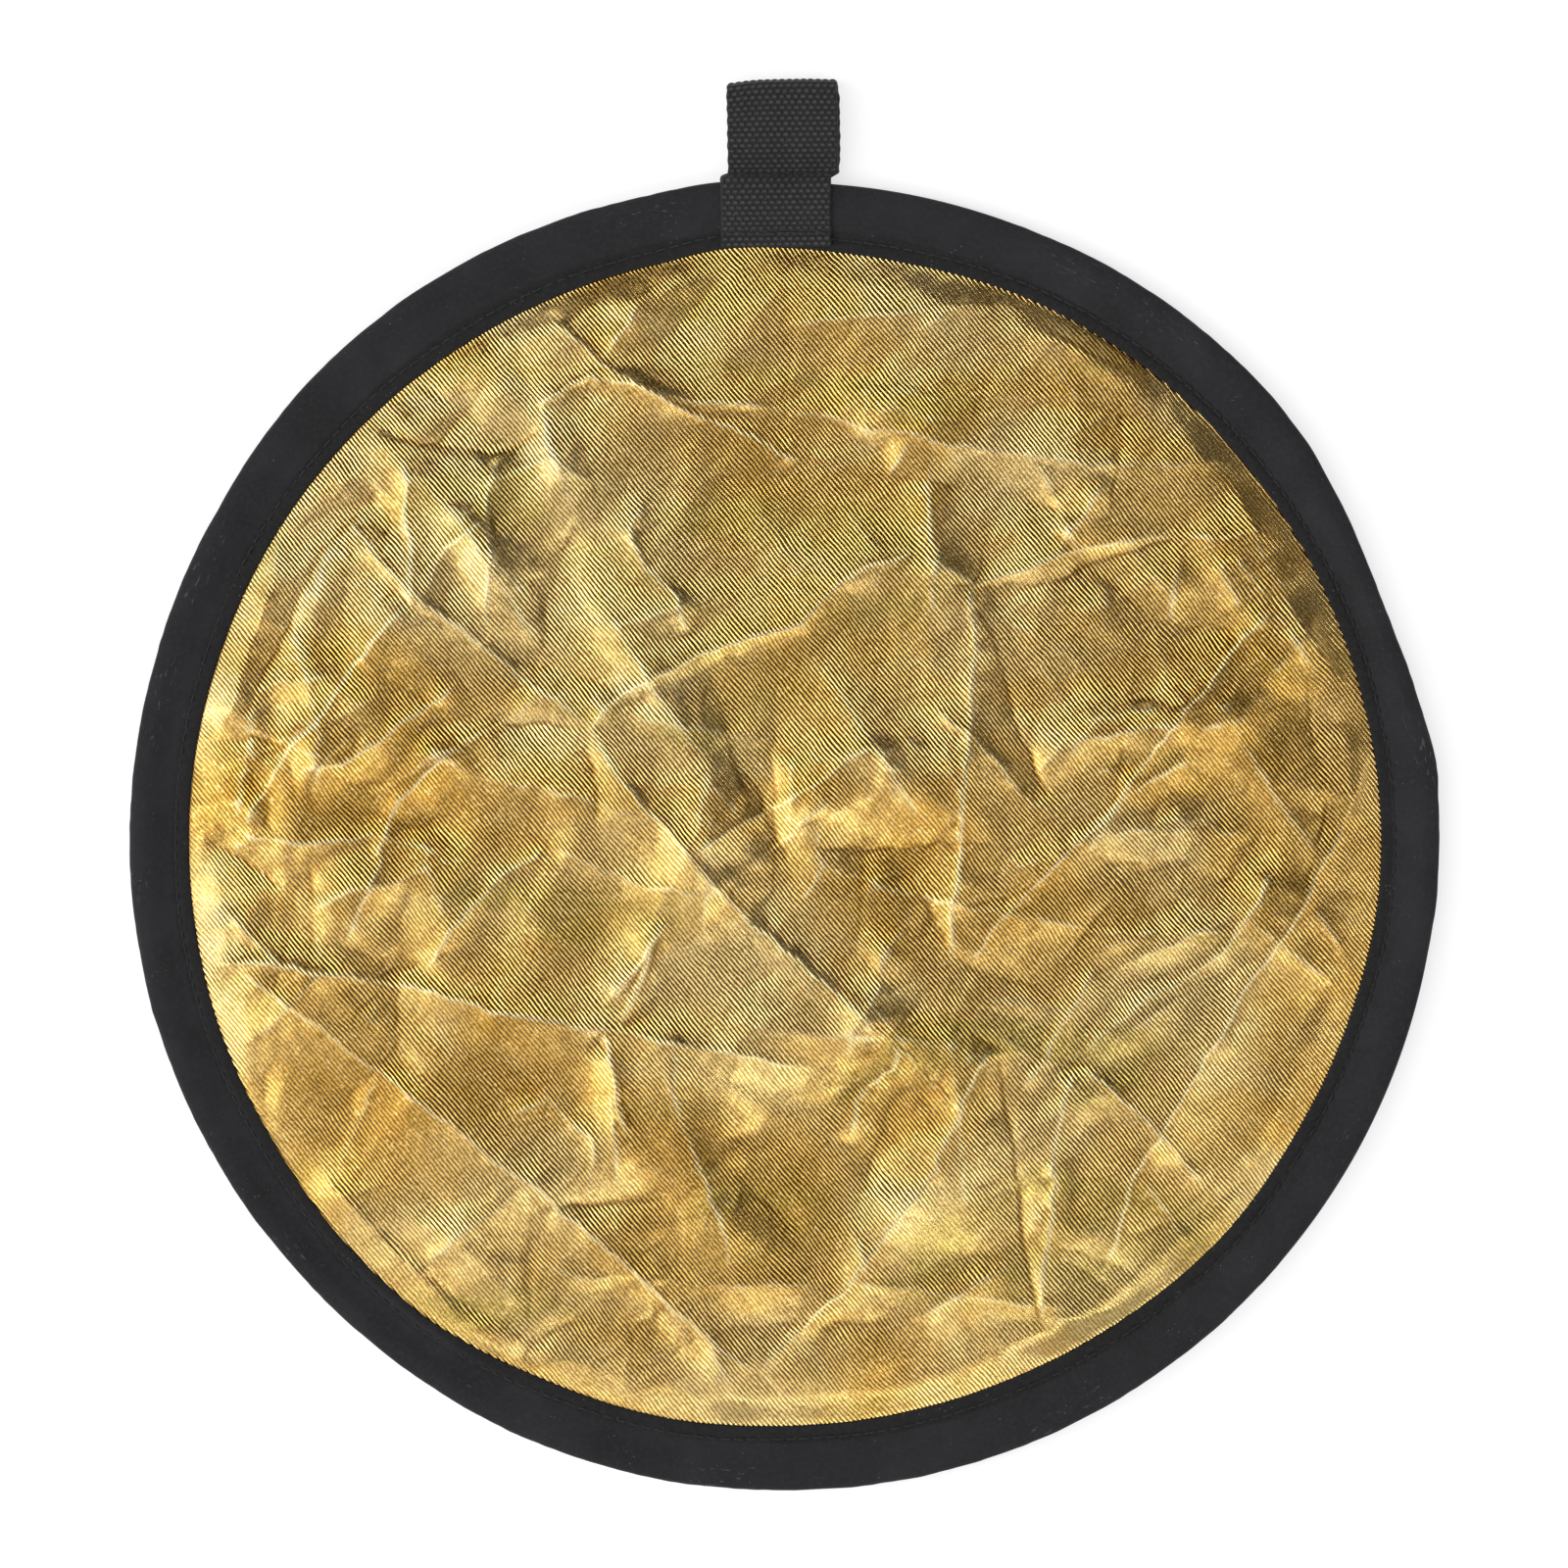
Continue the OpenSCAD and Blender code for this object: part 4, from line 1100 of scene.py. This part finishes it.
def webbing_cloth():
    m = Mat("webbing")
    v = m.obj
    tone = m.noise(m.scaled(v, 150.0), 1.0, 3.0, 0.6)
    yarn = m.noise(m.scaled(v, (2600.0, 900.0, 2600.0)), 1.0, 2.0, 0.6)
    lump = m.t.nodes.new("ShaderNodeAttribute")
    lump.attribute_name = "weave"
    # painted highlight: the raised yarn tops, from the weave attribute, are mixed towards a lighter grey
    top = m.span(lump.outputs["Fac"], 0.55, 0.97)
    c = m.ramp(tone, [(0.3, (0.0095, 0.0096, 0.0102)), (0.7, (0.0150, 0.0152, 0.0160))])
    c = m.mix(m.mul(top, 0.85), c, (0.064, 0.0645, 0.066))
    fuzz = m.noise(m.scaled(v, 1300.0), 1.0, 3.0, 0.75)
    c = m.mix(m.span(fuzz, 0.56, 0.72, 0.0, 0.4), c, (0.085, 0.086, 0.088))
    b = m.bump(m.add(yarn, m.mul(fuzz, 0.6)), 0.00008, 0.9)
    return m.set(color=c, rough=m.add(0.5, m.mul(fuzz, 0.32)), normal=b, sheen=0.10, sheen_rough=0.35, spec=0.35)


def thread_mat():
    m = Mat("sewing_thread")
    v = m.obj
    _r, a = m.polar()
    twist = m.sin(m.mul(m.add(m.mul(a, 0.1392), m.mul(m.z, 1.4)), TAU / 0.00036))
    fuzz = m.noise(m.scaled(v, 1600.0), 1.0, 3.0, 0.7)
    c = m.ramp(m.add(m.mul(twist, 0.22), m.mul(fuzz, 0.8)), [(0.2, (0.005, 0.0048, 0.005)), (0.55, (0.010, 0.0098, 0.0102)), (0.85, (0.024, 0.024, 0.025))])
    b = m.bump(m.add(twist, fuzz), 0.00005, 0.8)
    return m.set(color=c, rough=m.add(0.42, m.mul(fuzz, 0.3)), normal=b, sheen=0.2, sheen_rough=0.4)


def steel_mat():
    m = Mat("spring_steel")
    v = m.obj
    r, a = m.polar()
    run = m.vec(m.mul(a, 9.0), m.mul(r, 4200.0), m.mul(m.z, 4200.0))
    grain = m.noise(run, 1.0, 4.0, 0.6)
    stain = m.noise(m.scaled(v, 70.0), 1.0, 4.0, 0.6)
    c = m.ramp(stain, [(0.3, (0.20, 0.205, 0.215)), (0.55, (0.42, 0.425, 0.435)), (0.75, (0.52, 0.52, 0.53))])
    c = m.mix(m.span(m.noise(m.scaled(v, 210.0), 1.0, 4.0, 0.7), 0.6, 0.74, 0.0, 0.6), c, (0.16, 0.105, 0.07))
    return m.set(color=c, metal=1.0, rough=m.add(0.22, m.mul(grain, 0.25)), normal=m.bump(grain, 0.00002, 0.6), aniso=0.4)


def zinc_mat():
    m = Mat("zinc_crimp")
    v = m.obj
    spangle = m.cells(m.scaled(v, (1.0, 1.0, 1.0)), 420.0)
    sep = m.t.nodes.new("ShaderNodeSeparateColor")
    m.t.links.new(spangle, sep.inputs[0])
    pits = m.noise(m.scaled(v, 1100.0), 1.0, 3.0, 0.6)
    c = m.ramp(sep.outputs[0], [(0.0, (0.44, 0.45, 0.47)), (1.0, (0.66, 0.67, 0.69))])
    c = m.mix(m.span(m.noise(m.scaled(v, 160.0), 1.0, 3.0), 0.55, 0.7, 0.0, 0.4), c, (0.30, 0.30, 0.31))
    return m.set(color=c, metal=0.9, rough=m.add(0.32, m.mul(pits, 0.2)), normal=m.bump(pits, 0.00003, 0.6))


BINDING, WEBBING, THREAD, STEEL, ZINC = binding_cloth(), webbing_cloth(), thread_mat(), steel_mat(), zinc_mat()


GOLD, SILVER = field(gold_height), field(silver_height)
Q_GOLD, Q_SILVER = 56, 32



def crest(fields):
    """Where the cloth is sharply creased: +1 on a ridge, -1 in a valley."""
    h = fields[0]
    c = np.zeros_like(h)
    c[2:-2, 2:-2] = 4 * h[2:-2, 2:-2] - h[4:, 2:-2] - h[:-4, 2:-2] - h[2:-2, 4:] - h[2:-2, :-4]
    edge = smooth(5.0, 12.0, r_lip(np.degrees(np.arctan2(_Y, _X)) % 360) - np.hypot(_X, _Y))
    return np.clip(c * edge / 0.15, -1, 1)


def mark(o, grid):
    """Writes how sharply the cloth is creased at each point, for the material, which paints a highlight on the ridges
    and shade in the valleys.
    """
    n = len(o.data.vertices)
    co = np.empty(n * 3, np.float32)
    o.data.vertices.foreach_get("co", co)
    co = co.reshape(-1, 3).astype(np.float64) / MM
    att = o.data.attributes.new("crest", "FLOAT", "POINT")
    att.data.foreach_set("value", sample(grid, co[:, 0], co[:, 1]).astype(np.float32))


CRESTS = {"gold": crest(GOLD), "silver": crest(SILVER)}

for body, (a0, a1) in SPAN.items():
    for which, fields, up, mat, fine in (("gold", GOLD, True, gold, Q_GOLD), ("silver", SILVER, False, silver, Q_SILVER)):
        o = wedge(which + "_cloth_" + body[4:], a0, a1, fields, up, [mat], fine)
        mark(o, CRESTS[which])
        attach(o, body)
        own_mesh(o)
        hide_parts(which + "_face")

# the binding goes from the middle of one arc to the middle of the next, over the joint between them; only the two end
# pieces are attached to an arc
MID = {}
for body, (a0, a1) in SPAN.items():
    MID[body] = (a0 + a1) / 2
PIECES = [("twist", "arc_l00", "arc_u00", MID["arc_u00"], MID["arc_l00"], TWIST, 3.9)]
for k in range(1, 12):
    at = TWIST + STEP * (k - 0.5)
    PIECES.append(("l%02d" % k, "arc_l%02d" % (k - 1), "arc_l%02d" % k, MID["arc_l%02d" % (k - 1)], MID["arc_l%02d" % k], at, 5.0 if k > 1 else 3.8))
    at = TWIST - STEP * (k - 0.5)
    PIECES.append(("u%02d" % k, "arc_u%02d" % (k - 1), "arc_u%02d" % k, MID["arc_u%02d" % k], MID["arc_u%02d" % (k - 1)], at, 5.0 if k > 1 else 3.8))
PIECES.append(("l_end", "arc_l11", None, MID["arc_l11"], TWIST + STEP * 11.5, 0, 0))
PIECES.append(("u_end", "arc_u11", None, TWIST - STEP * 11.5, MID["arc_u11"], 0, 0))

for name, a, b, lo, hi, at, reach in PIECES:
    rim = binding_piece("binding_" + name, lo, hi, [BINDING], True)
    fine_thread = tubes("seam_" + name, seam_stitches(lo, hi), 0.2, [THREAD])
    for o in (rim, fine_thread):
        if b is None:
            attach(o, a)
        else:
            up = 1 if b.startswith("arc_l") else -1
            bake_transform(o)
    nodes = []
    for n in frame["nodes"]:
        if n.startswith("rim_"):
            body = "arc_" + n[4:]
            c0, c1 = SPAN[body]
            # a binding piece stands for the arcs it covers the first half of
            if b is None and body == a or b is not None and (body == b or body == a and body.endswith("00")):
                nodes.append(n)
    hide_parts(*nodes)
    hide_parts("seam_thread_front", "seam_thread_back")

# ---------------------------------------------------------------- strap
strap, strap_len = strap_mesh("webbing_strap", [WEBBING])
rows = tubes("strap_rows", strap_stitch_lines(), 0.24, [THREAD])
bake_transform(strap)
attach(rows, "arc_u06")
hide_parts("strap_leaf_front", "strap_leaf_back", "strap_loop")
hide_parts("strap_stitches")

# ---------------------------------------------------------------- the band and ferrule stay the CAD's
for n, o in frame["nodes"].items():
    if n.startswith("band_"):
        o.data.materials.clear()
        o.data.materials.append(ZINC if n == "band_ferrule" else STEEL)


# ---------------------------------------------------------------- floor, light and camera
def floor_mat():
    m = Mat("studio_floor")
    n = m.noise(m.scaled(m.obj, 3.0), 1.0, 2.0)
    c = m.ramp(n, [(0.3, (0.50, 0.50, 0.50)), (0.7, (0.52, 0.52, 0.52))])
    m.put(m.b.inputs["Emission Color"], (1.0, 1.0, 1.0))
    m.put(m.b.inputs["Emission Strength"], 0.66)
    return m.set(color=c, rough=0.95, spec=0.05)


zf = CAD_LO.z / MM - 0.4
floor = make("studio_floor", [(-6000, -6000, zf), (6000, -6000, zf), (6000, 6000, zf), (-6000, 6000, zf)], [np.array([[0, 1, 2, 3]])], [floor_mat()])


def studio_world():
    """A pale room: mid grey overhead, darker towards +Y, lighter towards -X and at the horizon."""
    w = bpy.data.worlds.new("studio")
    w.use_nodes = True
    t = w.node_tree
    t.nodes.clear()
    out = t.nodes.new("ShaderNodeOutputWorld")
    bg = t.nodes.new("ShaderNodeBackground")
    t.links.new(bg.outputs[0], out.inputs[0])
    co = t.nodes.new("ShaderNodeTexCoord")
    s = t.nodes.new("ShaderNodeSeparateXYZ")
    t.links.new(co.outputs["Generated"], s.inputs[0])
    x, y, z = s.outputs

    def span(f, a, b, lo, hi):
        n = t.nodes.new("ShaderNodeMapRange")
        n.interpolation_type = "SMOOTHSTEP"
        t.links.new(f, n.inputs[0])
        for i, v in enumerate((a, b, lo, hi)):
            n.inputs[i + 1].default_value = v
        return n.outputs[0]

    def op(kind, a, b):
        n = t.nodes.new("ShaderNodeMath")
        n.operation = kind
        for i, v in enumerate((a, b)):
            if isinstance(v, float):
                n.inputs[i].default_value = v
            else:
                t.links.new(v, n.inputs[i])
        return n.outputs[0]

    sky = span(y, -0.45, 0.32, WORLD[0], WORLD[1])
    sky = op("ADD", sky, span(x, -0.50, -0.06, WORLD[2], 0.0))
    sky = op("ADD", sky, span(x, 0.18, 0.6, 0.0, WORLD[3]))
    edge = span(z, 0.12, 0.45, 1.0, 0.0)
    level = op("ADD", op("MULTIPLY", sky, op("SUBTRACT", 1.0, edge)), op("MULTIPLY", edge, 0.95))
    t.links.new(level, bg.inputs["Strength"])
    bg.inputs[0].default_value = (0.98, 0.985, 1.0, 1)
    return w


WORLD = (0.46, 0.03, 0.42, 0.10)
bpy.context.scene.world = studio_world()
bpy.context.scene.view_settings.view_transform = "Standard"


def light(name, loc, size, radiance, color=(1, 1, 1), aim=(0, 0, 0)):
    """A rectangular softbox of the given radiance."""
    d = bpy.data.lights.new(name, "AREA")
    d.shape = "RECTANGLE"
    d.size, d.size_y = size
    d.energy = radiance * math.pi * size[0] * size[1]
    d.color = color
    o = bpy.data.objects.new(name, d)
    o.location = loc
    o.rotation_euler = (Vector(aim) - Vector(loc)).to_track_quat("-Z", "Y").to_euler()
    bpy.context.scene.collection.objects.link(o)
    return o


light("key_left", (-0.80, 0.02, 1.5), (0.60, 1.3), 3.0, (1.0, 0.99, 0.97))
light("strip_right", (0.72, -0.45, 1.45), (0.16, 1.0), 4.5, (1.0, 0.99, 0.97))
light("strip_front", (0.05, -0.75, 1.5), (1.2, 0.18), 3.4)
light("side_left", (-1.8, 0.1, 0.75), (0.8, 1.6), 2.4)
light("low_back", (-0.2, 1.7, 0.8), (1.3, 0.3), 2.6)

cam = bpy.data.cameras.new("camera")
cam.sensor_width = 36
cam.lens = 125.2
cam.dof.use_dof = False
cam_o = bpy.data.objects.new("camera", cam)
cam_o.location = (-0.0002, 0.0119, 1.25)
cam_o.rotation_euler = (0, 0, 0)
bpy.context.scene.collection.objects.link(cam_o)
bpy.context.scene.camera = cam_o
